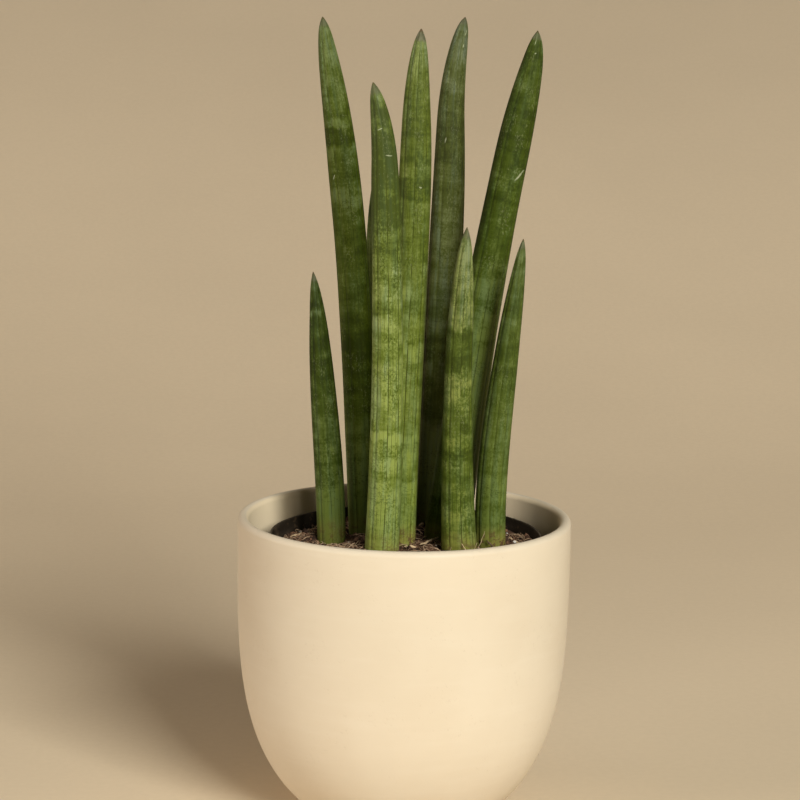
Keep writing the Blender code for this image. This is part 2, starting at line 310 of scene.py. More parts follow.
class Effects:
    """Shader node groups that several finishes share, each built once."""

    ORIGIN: Point = (0.0, 0.0, 0.0)
    SPECK_PATCH: Span = (0.38, 0.66)
    SPECK_EDGE = 0.72
    SPECK_GROWTH = 0.26
    SPECK_CRISPNESS = 14.0
    RIB_DRIFT = Pattern(160.0, 22.0)
    SCAR_SCALE = 900.0
    SCAR_WANDER = 0.6
    SCAR_DEPTH = 4.0

    def __init__(self) -> None:
        """Build every group."""
        self.specks_tree = self._build_specks()
        self.ribs_tree = self._build_ribs()
        self.scar_tree = self._build_scar()
        self.skin_tree = LeafSkin(self).sheet.tree

    def specks(self, sheet: Sheet, vector: object, dots: Dots) -> bpy.types.NodeSocket:
        """Place small irregular dots, grouped in patches.

        Args:
            sheet: The sheet that they go on.
            vector: Where they are read.
            dots: Their scales, and how thickly they lie.

        Returns:
            A mask that is 1 on a dot.
        """
        inputs = {"Vector": vector, "Scale": dots.scale, "Amount": dots.amount,
                  "Patch Scale": dots.patch_scale}
        return sheet.group(self.specks_tree, inputs).outputs["Mask"]

    def _build_specks(self) -> bpy.types.NodeTree:
        """Build the group of small irregular dots.

        Returns:
            The group, which puts out a mask.
        """
        sheet, given, made = new_group(
            "Specks", {"Vector": self.ORIGIN, "Scale": 1000.0, "Amount": 0.4, "Patch Scale": 90.0},
            {"Mask": "NodeSocketFloat"})
        grain = sheet.noise(given.outputs["Vector"], given.outputs["Scale"], detail=2.0, rough=0.6)
        patch = sheet.noise(given.outputs["Vector"], given.outputs["Patch Scale"], detail=1.0)
        gate = sheet.times(sheet.ramp(patch, *self.SPECK_PATCH), given.outputs["Amount"])
        edge = sheet.minus(self.SPECK_EDGE, sheet.times(gate, self.SPECK_GROWTH))
        above = sheet.minus(grain, edge)
        sheet.feed(made.inputs["Mask"], sheet.math("MULTIPLY", above, self.SPECK_CRISPNESS, clamp=True))
        return sheet.tree

    def _build_ribs(self) -> bpy.types.NodeTree:
        """Build the group of lines that run lengthwise at even turns round a leaf.

        Returns:
            The group, which puts out a mask that is 1 on a line.
        """
        sheet, given, made = new_group(
            "Ribs", {"Vector": self.ORIGIN, "Count": 8.0, "Turn": 0.0, "Width": 0.1, "Wander": 0.05},
            {"Mask": "NodeSocketFloat"})
        parts = sheet.add("ShaderNodeSeparateXYZ", {0: given.outputs["Vector"]})
        angle = sheet.math("ARCTAN2", parts.outputs["Y"], parts.outputs["X"])
        around = sheet.math("DIVIDE", sheet.minus(angle, given.outputs["Turn"]), 2.0 * math.pi)
        drift = sheet.swing(sheet.grain(given.outputs["Vector"], self.RIB_DRIFT), given.outputs["Wander"])
        count = sheet.plus(sheet.times(around, given.outputs["Count"]), drift)
        share = sheet.math("DIVIDE", sheet.math("PINGPONG", count, 0.5), given.outputs["Width"])
        sheet.feed(made.inputs["Mask"], sheet.ramp(share, 1.0, 0.25))
        return sheet.tree

    def _build_scar(self) -> bpy.types.NodeTree:
        """Build the group of a short ragged scrape at one place.

        Returns:
            The group, which puts out a mask.
        """
        sheet, given, made = new_group(
            "Scar", {"Vector": self.ORIGIN, "Place": self.ORIGIN, "Tilt": 0.0, "Length": 0.002,
                     "Width": 0.0003},
            {"Mask": "NodeSocketFloat"})
        inputs = {"Vector": given.outputs["Vector"], "Scale": self.SCAR_SCALE}
        wander = sheet.add("ShaderNodeTexNoise", inputs).outputs["Color"]
        shift = sheet.vector("SUBTRACT", wander, (0.5, 0.5, 0.5))
        shift = sheet.stretch(shift, self.SCAR_WANDER * MM, self.SCAR_WANDER * MM)
        away = sheet.vector("SUBTRACT", given.outputs["Vector"], given.outputs["Place"])
        inputs = {"Vector": sheet.vector("ADD", away, shift), "Angle": given.outputs["Tilt"]}
        turned = sheet.add("ShaderNodeVectorRotate", inputs, rotation_type="Y_AXIS")
        parts = sheet.add("ShaderNodeSeparateXYZ", {0: turned.outputs[0]}).outputs
        total = 0.0
        for axis, reach in (("X", given.outputs["Length"]), ("Z", given.outputs["Width"]),
                            ("Y", self.SCAR_DEPTH * MM)):
            total = sheet.plus(total, sheet.math("POWER", sheet.math("DIVIDE", parts[axis], reach), 2.0))
        sheet.feed(made.inputs["Mask"], sheet.ramp(total, 1.0, 0.35))
        return sheet.tree


class LeafSkin:
    """Waxy leaf skin as a node group: cross bands, mottle, lengthwise lines, dry point, soiled foot."""

    INPUTS: dict[str, object] = {
        "Vector": (0.0, 0.0, 0.0), "Tone": 0.0, "Length": 0.2, "Turn": 0.0, "Mottle": 0.4, "Lines": 0.6,
        "Mottle Top": 0.4, "Point": 0.005, "Dryness": 0.5, "Soiling": 0.5,
        "Dark Colour": (0.03, 0.045, 0.01), "Green Colour": (0.1, 0.13, 0.03),
        "Pale Colour": (0.2, 0.24, 0.06), "Point Colour": (0.2, 0.18, 0.12)}
    OUTPUTS: dict[str, str] = {
        "Colour": "NodeSocketColor", "Roughness": "NodeSocketFloat", "Height": "NodeSocketFloat"}
    DARK_TINT: Colour = (0.97, 1.0, 0.72)
    # Pale parts are bluer: partly the skin's own tone, partly a painted gloss reflection.
    PALE_TONE_AND_SHEEN_TINT: Colour = (1.005, 1.0, 1.22)
    FOOT_TINT: Colour = (1.0, 1.0, 0.82)
    TOP_TINT: Colour = (1.03, 1.0, 1.6)
    BARE_TINT: Colour = (1.02, 1.0, 0.90)
    BLOOM_TINT: Colour = (0.96, 0.99, 1.32)
    LINE_TINT: Colour = (0.76, 0.7, 0.45)
    DOT: Colour = (0.24, 0.26, 0.12)
    CORK: Colour = (0.15, 0.145, 0.095)
    CORK_PIT: Colour = (0.045, 0.042, 0.022)
    CORK_END: Colour = (0.085, 0.042, 0.025)
    YELLOWED: Colour = (0.22, 0.17, 0.035)
    MUD: Colour = (0.09, 0.05, 0.022)
    STREAK = Pattern(900.0, 42.0, 3.0, 0.6)
    CLOUD = Pattern(260.0, 190.0, 4.0, 0.65)
    FLECK = Pattern(1150.0, 800.0, 3.0, 0.7)
    RING = Pattern(75.0, 380.0, 3.0, 0.6)
    WORN = Pattern(230.0, 45.0)
    BLOOM = Pattern(330.0, 38.0, 3.0, 0.6)
    BREAKS = Pattern(260.0, 90.0, 3.0)
    PORES = Dots(1500.0, 0.75, 150.0)
    PALE_DOTS = Dots(1300.0, 0.62, 120.0)
    SPATTER = Dots(900.0, 1.1, 240.0)
    # How much the bands and each pattern move the tone, then how much dots and lines show.
    BAND_WEIGHT = 0.6
    STREAK_WEIGHT = 0.5
    CLOUD_WEIGHT = 0.8
    RING_WEIGHT = 0.95
    MOTTLE_WEIGHT = 2.2
    PORE_SHARE = 0.5
    PALE_DOT_SHARE = 0.22
    GROOVE_WEIGHT = 0.2
    ROUGH: Span = (0.46, 0.6)
    # Number round the leaf, width, wander and weight: lines in the grooves, then the finer ones.
    LINES: tuple[tuple[float, float, float, float], ...] = ((8.0, 0.05, 0.12, 1.0), (24.0, 0.11, 0.7, 0.6))
    RAGGED = 6.0
    MOTTLE_FADE = 30.0
    SOILED_HEIGHT = 13.0

    def __init__(self, effects: Effects) -> None:
        """Build the group.

        Args:
            effects: The shared groups, with its specks and ribs built.
        """
        self.effects = effects
        self.sheet, given, made = new_group("Leaf skin", self.INPUTS, self.OUTPUTS)
        sheet = self.sheet
        self.given = given.outputs
        self.place = self.given["Vector"]
        self.height = sheet.add("ShaderNodeSeparateXYZ", {0: self.place}).outputs["Z"]
        self.streak = sheet.grain(self.place, self.STREAK)
        self.cloud = sheet.grain(self.place, self.CLOUD)
        self.fleck = sheet.grain(self.place, self.FLECK)
        self.ragged_height = sheet.plus(self.height, sheet.swing(self.streak, self.RAGGED * MM))
        colour = self.speckled(self.green(self.tone()))
        colour, lines = self.lined(colour)
        colour, dry = self.dried(colour)
        colour, mud = self.soiled(colour)
        rough = sheet.ramp(self.fleck, 0.3, 0.7, *self.ROUGH)
        rough = sheet.math("ADD", rough, sheet.times(sheet.plus(dry, mud), 0.25), clamp=True)
        bumps = sheet.times(sheet.plus(self.fleck, sheet.times(self.streak, 0.8)), 0.5)
        sheet.feed(made.inputs["Colour"], colour)
        sheet.feed(made.inputs["Roughness"], rough)
        sheet.feed(made.inputs["Height"], sheet.minus(bumps, sheet.times(lines, self.GROOVE_WEIGHT)))

    def tone(self) -> bpy.types.NodeSocket:
        """Work out how light the skin is, from its bands, streaks, clouds, rings and mottle.

        Returns:
            The tone: 0 dark, 0.5 green, 1 pale.
        """
        sheet = self.sheet
        tone = sheet.math("MULTIPLY_ADD", self.given["Tone"], self.BAND_WEIGHT, 0.5)
        ring = sheet.grain(self.place, self.RING)
        for pattern, weight in ((self.streak, self.STREAK_WEIGHT), (self.cloud, self.CLOUD_WEIGHT),
                                (ring, self.RING_WEIGHT)):
            tone = sheet.plus(tone, sheet.swing(pattern, weight))
        below = sheet.minus(self.given["Mottle Top"], self.height)
        below = sheet.math("DIVIDE", below, self.MOTTLE_FADE * MM)
        patch = sheet.ramp(sheet.grain(self.place, self.WORN), 0.38, 0.62)
        worn = sheet.times(self.given["Mottle"], sheet.math("MULTIPLY_ADD", patch, 1.3, 0.35),
                           sheet.ramp(below, -1.0, 1.0, 0.25, 1.0))
        return sheet.plus(tone, sheet.times(sheet.swing(self.fleck, worn, 0.49), self.MOTTLE_WEIGHT))

    def green(self, tone: bpy.types.NodeSocket) -> bpy.types.NodeSocket:
        """Colour the skin by its tone, bluer near the top and under bloom, and bluer where it is pale,
        partly as a painted gloss reflection.

        Args:
            tone: The tone.

        Returns:
            The colour.
        """
        sheet = self.sheet
        low = sheet.math("MULTIPLY", tone, 2.0, clamp=True)
        high = sheet.math("SUBTRACT", sheet.times(tone, 2.0), 1.0, clamp=True)
        colour = sheet.mix(low, self.given["Dark Colour"], self.given["Green Colour"])
        colour = sheet.mix(high, colour, self.given["Pale Colour"])
        share = sheet.math("DIVIDE", self.height, self.given["Length"], clamp=True)
        bloom = sheet.grain(self.place, self.BLOOM)
        for amount, none, full in (
                (sheet.ramp(tone, 0.2, 0.8), self.DARK_TINT, self.PALE_TONE_AND_SHEEN_TINT),
                (sheet.math("POWER", share, 1.6), self.FOOT_TINT, self.TOP_TINT),
                (sheet.ramp(bloom, 0.45, 0.62), self.BARE_TINT, self.BLOOM_TINT)):
            colour = sheet.tint(colour, sheet.mix(amount, none, full))
        return colour

    def speckled(self, colour: bpy.types.NodeSocket) -> bpy.types.NodeSocket:
        """Lay dark pores and pale dots on the skin.

        Args:
            colour: The skin's colour.

        Returns:
            The colour with them.
        """
        sheet = self.sheet
        pores = self.effects.specks(sheet, sheet.stretch(self.place, 0.6, 1.3), self.PORES)
        colour = sheet.mix(sheet.times(pores, self.PORE_SHARE), colour, self.given["Dark Colour"])
        dots = self.effects.specks(sheet, sheet.stretch(self.place, 1.0, 0.7), self.PALE_DOTS)
        return sheet.mix(sheet.times(dots, self.PALE_DOT_SHARE), colour, self.DOT)

    def lined(self, colour: bpy.types.NodeSocket) -> tuple[bpy.types.NodeSocket, bpy.types.NodeSocket]:
        """Draw the broken dark lines along the grooves, and finer ones between them.

        Args:
            colour: The skin's colour.

        Returns:
            The colour with them, and their mask.
        """
        sheet = self.sheet
        broken = sheet.ramp(sheet.grain(self.place, self.BREAKS), 0.4, 0.56, 0.2, 1.15)
        masks = []
        shown = []
        for count, width, wander, weight in self.LINES:
            ribs = sheet.group(self.effects.ribs_tree, {"Vector": self.place, "Count": count, "Width": width,
                                                        "Turn": self.given["Turn"], "Wander": wander})
            masks.append(ribs.outputs["Mask"])
            shown.append(sheet.times(masks[-1], broken, self.given["Lines"], weight))
        shade = sheet.tint(self.given["Dark Colour"], self.LINE_TINT)
        return sheet.mix(sheet.math("MAXIMUM", *shown), colour, shade), sheet.plus(*masks)

    def dried(self, colour: bpy.types.NodeSocket) -> tuple[bpy.types.NodeSocket, bpy.types.NodeSocket]:
        """Dry the leaf's point to cork, brown at its very end.

        Args:
            colour: The skin's colour.

        Returns:
            The colour with it, and a mask that is 1 where it is dry.
        """
        sheet = self.sheet
        from_tip = sheet.minus(self.given["Length"], self.ragged_height)
        near = sheet.math("DIVIDE", from_tip, self.given["Point"])
        dry = sheet.ramp(near, 1.12, 0.9)
        cork = sheet.mix(sheet.ramp(self.streak, 0.42, 0.6), self.given["Point Colour"], self.CORK)
        cork = sheet.mix(sheet.ramp(self.cloud, 0.4, 0.62, to_high=0.8), cork, self.CORK_PIT)
        cork = sheet.mix(sheet.ramp(near, 0.34, 0.1), cork, self.CORK_END)
        return sheet.mix(sheet.times(dry, self.given["Dryness"]), colour, cork), dry

    def soiled(self, colour: bpy.types.NodeSocket) -> tuple[bpy.types.NodeSocket, bpy.types.NodeSocket]:
        """Yellow the leaf's foot and spatter it with soil.

        Args:
            colour: The skin's colour.

        Returns:
            The colour with it, and the mask of the spatter.
        """
        sheet = self.sheet
        foot = sheet.ramp(self.ragged_height, self.SOILED_HEIGHT * MM, 0.0)
        foot = sheet.times(foot, self.given["Soiling"])
        mud = sheet.times(self.effects.specks(sheet, self.place, self.SPATTER), foot)
        colour = sheet.mix(sheet.times(foot, self.cloud), colour, self.YELLOWED)
        return sheet.mix(mud, colour, self.MUD), mud


# ---------------------------------------------------------------- finishes


def start_material(name: str) -> tuple[bpy.types.Material, Sheet, bpy.types.Node]:
    """Make a material with a Principled shader.

    Args:
        name: The material's name.

    Returns:
        The material, its sheet and its shader.
    """
    material = bpy.data.materials.new(name)
    material.use_nodes = True
    sheet = Sheet(material.node_tree)
    return material, sheet, material.node_tree.nodes["Principled BSDF"]


def relief(sheet: Sheet, shader: bpy.types.Node, height: object, rise: float, strength: float) -> None:
    """Give a shader a bump.

    Args:
        sheet: The material's sheet.
        shader: Its Principled shader.
        height: The pattern's height, 0 to 1.
        rise: How high 1 stands, in millimetres.
        strength: How much of it shows.
    """
    bump = sheet.add("ShaderNodeBump", {"Height": height, "Distance": rise * MM, "Strength": strength})
    sheet.feed(shader.inputs["Normal"], bump.outputs["Normal"])


@dataclass(frozen=True)
class Scar:
    """A scrape on a leaf: turn from the front and height from the soil, tilt from level, size."""

    turn: float
    height: float
    tilt: float = 0.0
    length: float = 2.0
    width: float = 0.35


@dataclass(frozen=True)
class LeafFinish:
    """Colours and marks of one leaf's skin."""

    dark: Colour
    green: Colour
    pale: Colour
    mottle: float = 0.4
    mottle_top: float = 400.0
    lines: float = 0.6
    point: float = 5.0
    point_colour: Colour = (0.10, 0.095, 0.06)
    dryness: float = 0.6
    soiling: float = 0.5
    scars: tuple[Scar, ...] = ()
    scar_colour: Colour = (0.32, 0.34, 0.21)
    scar_share: float = 0.7
    specular: float = 0.07

    def material(self, name: str, effects: Effects, length: float, turn: float, girth: float
                 ) -> bpy.types.Material:
        """Make the leaf's material.

        Args:
            name: The material's name.
            effects: The shared node groups.
            length: The leaf's length from the soil to its point, in metres.
            turn: Where its first groove lies, in radians from +X.
            girth: Radius at which its straight coordinates run, in metres.

        Returns:
            The material.
        """
        material, sheet, shader = start_material(name)
        place = sheet.add("ShaderNodeAttribute", attribute_name="leaf_space").outputs["Vector"]
        tone = sheet.add("ShaderNodeAttribute", attribute_name="tone").outputs["Fac"]
        skin = sheet.group(effects.skin_tree, {
            "Vector": place, "Tone": tone, "Length": length, "Turn": turn, "Mottle": self.mottle,
            "Mottle Top": self.mottle_top * MM, "Lines": self.lines, "Point": self.point * MM,
            "Dryness": self.dryness, "Soiling": self.soiling,
            "Dark Colour": self.dark, "Green Colour": self.green, "Pale Colour": self.pale,
            "Point Colour": self.point_colour})
        colour = skin.outputs["Colour"]
        for scar in self.scars:
            angle = math.radians(scar.turn - 90.0)
            spot = (girth * math.cos(angle), girth * math.sin(angle), scar.height * MM)
            mask = sheet.group(effects.scar_tree, {
                "Vector": place, "Place": spot, "Tilt": math.radians(scar.tilt),
                "Length": scar.length * MM, "Width": scar.width * MM}).outputs["Mask"]
            colour = sheet.mix(sheet.times(mask, self.scar_share), colour, self.scar_colour)
        sheet.feed(shader.inputs["Base Color"], colour)
        sheet.feed(shader.inputs["Roughness"], skin.outputs["Roughness"])
        shader.inputs["Specular IOR Level"].default_value = self.specular
        relief(sheet, shader, skin.outputs["Height"], rise=0.14, strength=0.6)
        return material


@dataclass(frozen=True)
class CreamClay:
    """Matte cream glaze over fired clay, bare on the foot, with painted light making it paler low down,
    painted warm bounce light on the inner wall and a painted shadow on the inner wall's left part.
    """

    glaze: Colour = (0.615, 0.527, 0.388)
    deep: Colour = (0.569, 0.473, 0.335)
    brushed: Colour = (0.66, 0.585, 0.455)
    pit: Colour = (0.385, 0.285, 0.185)
    # Painted light: this tint makes the lower body paler, between these two heights and below.
    painted_low_light: Colour = (1.09, 1.09, 1.10)
    painted_light_heights: Span = (105.0, 40.0)
    bare: Colour = (0.477, 0.385, 0.277)
    bare_heights: Span = (0.9, 0.4)
    # Painted warm bounce light: the inner wall near the lip is coloured warmer and lighter than the glaze.
    inside: Colour = (0.66, 0.54, 0.36)
    inside_radii: Span = (71.6, 70.6)
    inside_heights: Span = (60.0, 110.0)
    # Painted shadow: a dark brown patch on the inner wall's left part, where the leaves' shadow falls.
    painted_shadow_colour: Colour = (0.38, 0.28, 0.16)
    painted_shadow: float = 0.6
    painted_shadow_left: Span = (-60.0, -54.0)
    painted_shadow_right: Span = (0.0, -30.0)
    cloud_scale: float = 22.0
    cloud_share: float = 0.55
    brush_marks: Pattern = Pattern(30.0, 260.0, 3.0, 0.6)
    brush_share: float = 0.18
    tooth_scale: float = 2400.0
    pit_dots: Dots = Dots(620.0, 0.42, 60.0)
    pit_share: float = 0.1
    rough: Span = (0.5, 0.6)
    bare_roughness: float = 0.3
    specular: float = 0.25

    def material(self, effects: Effects) -> bpy.types.Material:
        """Make the material.

        Args:
            effects: The shared node groups.

        Returns:
            The material.
        """
        material, sheet, shader = start_material("cream_clay")
        place = sheet.add("ShaderNodeTexCoord").outputs["Object"]
        parts = sheet.add("ShaderNodeSeparateXYZ", {0: place}).outputs
        cloud = sheet.noise(place, self.cloud_scale, detail=4.0, rough=0.55)
        brush = sheet.grain(place, self.brush_marks)
        tooth = sheet.noise(place, self.tooth_scale, detail=3.0, rough=0.6)
        pits = effects.specks(sheet, place, self.pit_dots)
        colour = sheet.mix(sheet.ramp(cloud, 0.3, 0.75, to_high=self.cloud_share), self.glaze, self.deep)
        colour = sheet.mix(sheet.ramp(brush, 0.45, 0.8, to_high=self.brush_share), colour, self.brushed)
        colour = sheet.mix(sheet.times(pits, self.pit_share), colour, self.pit)
        # Painted light: the lower body is tinted paler.
        low = sheet.ramp(parts["Z"], *metres(self.painted_light_heights))
        colour = sheet.mix(low, colour, self.painted_low_light, "MULTIPLY")
        foot = sheet.ramp(parts["Z"], *metres(self.bare_heights))
        colour = sheet.mix(foot, colour, self.bare)
        flat = sheet.vector("MULTIPLY", place, (1.0, 1.0, 0.0))
        around = sheet.add("ShaderNodeVectorMath", {0: flat}, operation="LENGTH").outputs["Value"]
        inner = sheet.times(sheet.ramp(around, *metres(self.inside_radii)),
                            sheet.ramp(parts["Z"], *metres(self.inside_heights)))
        # Painted warm bounce light on the inner wall.
        colour = sheet.mix(inner, colour, self.inside)
        # Painted shadow on the inner wall's left part.
        painted_shadow = sheet.times(inner, sheet.ramp(parts["X"], *metres(self.painted_shadow_left)),
                            sheet.ramp(parts["X"], *metres(self.painted_shadow_right)), self.painted_shadow)
        sheet.feed(shader.inputs["Base Color"], sheet.mix(painted_shadow, colour, self.painted_shadow_colour))
        rough = sheet.ramp(cloud, 0.3, 0.7, *self.rough)
        rough = sheet.plus(rough, sheet.times(foot, self.bare_roughness))
        sheet.feed(shader.inputs["Roughness"], rough)
        shader.inputs["Specular IOR Level"].default_value = self.specular
        high = sheet.plus(sheet.times(brush, 0.5), sheet.times(tooth, 0.35))
        relief(sheet, shader, sheet.minus(high, sheet.times(pits, 0.5)), rise=0.12, strength=0.5)
        return material


@dataclass(frozen=True)
class BlackPlastic:
    """Thin moulded black plastic, dusty with soil."""

    base: Colour = (0.014, 0.010, 0.006)
    dust: Colour = (0.085, 0.055, 0.030)
    film_marks: Pattern = Pattern(60.0, 150.0, 4.0, 0.6)
    film_share: float = 0.35
    grain_scale: float = 1800.0
    grit: Dots = Dots(800.0, 0.9, 120.0)
    grit_share: float = 0.6
    rough: Span = (0.42, 0.7)
    specular: float = 0.25

    def material(self, effects: Effects) -> bpy.types.Material:
        """Make the material.

        Args:
            effects: The shared node groups.

        Returns:
            The material.
        """
        material, sheet, shader = start_material("black_plastic")
        place = sheet.add("ShaderNodeTexCoord").outputs["Object"]
        film = sheet.grain(place, self.film_marks)
        grain = sheet.noise(place, self.grain_scale)
        specks = effects.specks(sheet, place, self.grit)
        colour = sheet.mix(sheet.ramp(film, 0.45, 0.8, to_high=self.film_share), self.base, self.dust)
        colour = sheet.mix(sheet.times(specks, self.grit_share), colour, self.dust)
        sheet.feed(shader.inputs["Base Color"], colour)
        sheet.feed(shader.inputs["Roughness"], sheet.ramp(film, 0.35, 0.75, *self.rough))
        shader.inputs["Specular IOR Level"].default_value = self.specular
        relief(sheet, shader, sheet.plus(grain, specks), rise=0.06, strength=0.5)
        return material


@dataclass(frozen=True)
class Earth:
    """Potting mix and its litter, lighter or darker by each grain's own tone."""

    name: str
    dark: Colour
    light: Colour
    fleck: Colour
    rough: float = 0.9
    grain_scale: float = 700.0
    tone_share: float = 0.7
    grain_share: float = 0.5
    fleck_dots: Dots = Dots(1100.0, 0.8, 180.0)
    fleck_share: float = 0.6
    specular: float = 0.25

    def material(self, effects: Effects) -> bpy.types.Material:
        """Make the material.

        Args:
            effects: The shared node groups.

        Returns:
            The material.
        """
        material, sheet, shader = start_material(self.name)
        place = sheet.add("ShaderNodeTexCoord").outputs["Object"]
        tone = sheet.add("ShaderNodeAttribute", attribute_name="tone").outputs["Fac"]
        grain = sheet.noise(place, self.grain_scale, detail=4.0, rough=0.65)
        mixed = sheet.plus(sheet.times(tone, self.tone_share), sheet.times(grain, self.grain_share))
        flecks = effects.specks(sheet, place, self.fleck_dots)
        colour = sheet.mix(sheet.ramp(mixed, 0.15, 0.95), self.dark, self.light)
        colour = sheet.mix(sheet.times(flecks, self.fleck_share), colour, self.fleck)
        sheet.feed(shader.inputs["Base Color"], colour)
        shader.inputs["Roughness"].default_value = self.rough
        shader.inputs["Specular IOR Level"].default_value = self.specular
        relief(sheet, shader, grain, rise=0.4, strength=0.8)
        return material


# ---------------------------------------------------------------- mesh building


def finish_piece(name: str, bm: bmesh.types.BMesh, material: bpy.types.Material,
                 sharp: float = 40.0) -> bpy.types.Object:
    """Turn a bmesh into a shown piece with smooth shading.

    Args:
        name: The piece's name.
        bm: The mesh, which is freed.
        material: Its material.
        sharp: Angle past which an edge stays sharp, in degrees.

    Returns:
        The piece.
    """
    mesh = bpy.data.meshes.new(name)
    bm.to_mesh(mesh)
    bm.free()
    mesh.materials.append(material)
    mesh.shade_smooth()
    mesh.set_sharp_from_angle(angle=math.radians(sharp))
    piece = bpy.data.objects.new(name, mesh)
    bpy.context.scene.collection.objects.link(piece)
    return piece


def place_piece(piece: bpy.types.Object, slot: str, replaces: str | None = None) -> None:
    """Ride a piece on the plant's body and report it.

    Args:
        piece: The piece.
        slot: The record's material slot.
        replaces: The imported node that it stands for, if any.
    """
    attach(piece, BODY)
    if replaces is not None:
        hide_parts(replaces)
    LOG.info("%s: %d faces, slot %s", piece.name, len(piece.data.polygons), slot)


def turn_profile(profile: Sequence[tuple[float, float]], steps: int) -> bmesh.types.BMesh:
    """Spin a profile about the upright axis into a closed shape.

    Args:
        profile: (radius, height) pairs in metres, with both ends on the axis.
        steps: Sides of the turned shape.

    Returns:
        The mesh, with its faces outward.
    """
    bm = bmesh.new()
    line = [bm.verts.new((radius, 0.0, height)) for radius, height in profile]
    edges = [bm.edges.new(pair) for pair in zip(line, line[1:])]
    bmesh.ops.spin(bm, geom=line + edges, axis=(0.0, 0.0, 1.0), cent=(0.0, 0.0, 0.0),
                   angle=2.0 * math.pi, steps=steps, use_merge=True)
    bmesh.ops.remove_doubles(bm, verts=bm.verts, dist=1e-7)
    bmesh.ops.recalc_face_normals(bm, faces=bm.faces)
    return bm


def arc(centre: tuple[float, float], radius: float, start: float, end: float, steps: int
        ) -> list[tuple[float, float]]:
    """Points of an arc in a profile.

    Args:
        centre: (radius, height) of its centre.
        radius: Its own radius.
        start: First angle in degrees, from outward toward up.
        end: Last angle.
        steps: Number of chords.

    Returns:
        The points.
    """
    turns = [math.radians(start + (end - start) * i / steps) for i in range(steps + 1)]
    return [(centre[0] + radius * math.cos(t), centre[1] + radius * math.sin(t)) for t in turns]


def set_tone(piece: bpy.types.Object, values: Iterable[float]) -> None:
    """Store one tone a vertex, which the finish reads.

    Args:
        piece: The piece.
        values: Tones, in the order of its vertices.
    """
    layer = piece.data.attributes.new("tone", "FLOAT", "POINT")
    layer.data.foreach_set("value", np.asarray(list(values), dtype=np.float32))


# ---------------------------------------------------------------- cover pot


@dataclass(frozen=True)
class CoverPot:
    """Turned cream pot: nearly straight sides drawn in to a flat foot, and a round lip.

    The inset keeps its skin just inside the frame's.
    """

    height: float = RIM_HEIGHT
    radius: float = 75.0
    wall: float = 5.0
    floor: float = 8.0
    curve_depth: float = 148.0
    curve_power: float = 3.94
    floor_corner: float = 1.5
    foot_edge: float = 1.5
    foot_bevel: float = 0.35
    recess_radius: float = 33.0
    recess: float = 1.2
    lip_steps: int = 16
    side_steps: int = 44
    side_gather: float = 0.75
    turned_steps: int = 208
    inset: float = 0.02

    def side(self, depth: float) -> tuple[float, tuple[float, float]]:
        """Outer radius at a depth below the lip, with the inward normal.

        Args:
            depth: Depth in millimetres.

        Returns:
            The radius and the (radius, height) normal.
        """
        closed = (depth / self.curve_depth) ** self.curve_power
        radius = self.radius * math.sqrt(1.0 - closed)
        slope = self.radius ** 2 * self.curve_power * closed / (2.0 * max(depth, 1e-6) * radius)
        length = math.hypot(1.0, slope)
        return radius, (-1.0 / length, slope / length)

    def profile(self) -> list[tuple[float, float]]:
        """Outline from the middle of the inner floor, over the lip, to the middle of the foot.

        Returns:
            (radius, height) pairs in metres.
        """
        lip = self.wall / 2.0
        last = self.height - self.foot_edge
        shares = [(i / self.side_steps) ** self.side_gather for i in range(self.side_steps + 1)]
        depths = [lip + (last - lip) * share for share in shares]
        inner = []
        for depth in depths[1:]:
            radius, normal = self.side(depth)
            height = self.height - depth + self.wall * normal[1]
            if height > self.floor + 0.5:
                inner.append((radius + self.wall * normal[0], height))
        corner = inner[-1][0]
        points = [(0.0, self.floor), (corner - 2.0 * self.floor_corner, self.floor)]
        points += [(corner - self.floor_corner, self.floor + 0.1)] + inner[::-1]
        points += arc((self.radius - lip, self.height - lip), lip, 180.0, 0.0, self.lip_steps)
        points += [(self.side(depth)[0], self.height - depth) for depth in depths[1:]]
        foot = self.side(self.height)[0]
        points += [(foot + self.foot_bevel, self.foot_bevel), (foot, 0.0), (self.recess_radius, 0.0)]
        points += arc((self.recess_radius - self.recess, 0.0), self.recess, 20.0, 90.0, 4)
        points += [(0.0, self.recess)]
        return [((radius - self.inset if radius else 0.0) * MM, height * MM) for radius, height in points]

    def build(self, effects: Effects) -> None:
        """Make the pot and put it in place.

        Args:
            effects: The shared node groups.
        """
        bm = turn_profile(self.profile(), self.turned_steps)
        piece = finish_piece("cover_pot_glazed", bm, CreamClay().material(effects))
        place_piece(piece, "cream_clay", "cover_pot")


# ---------------------------------------------------------------- nursery pot


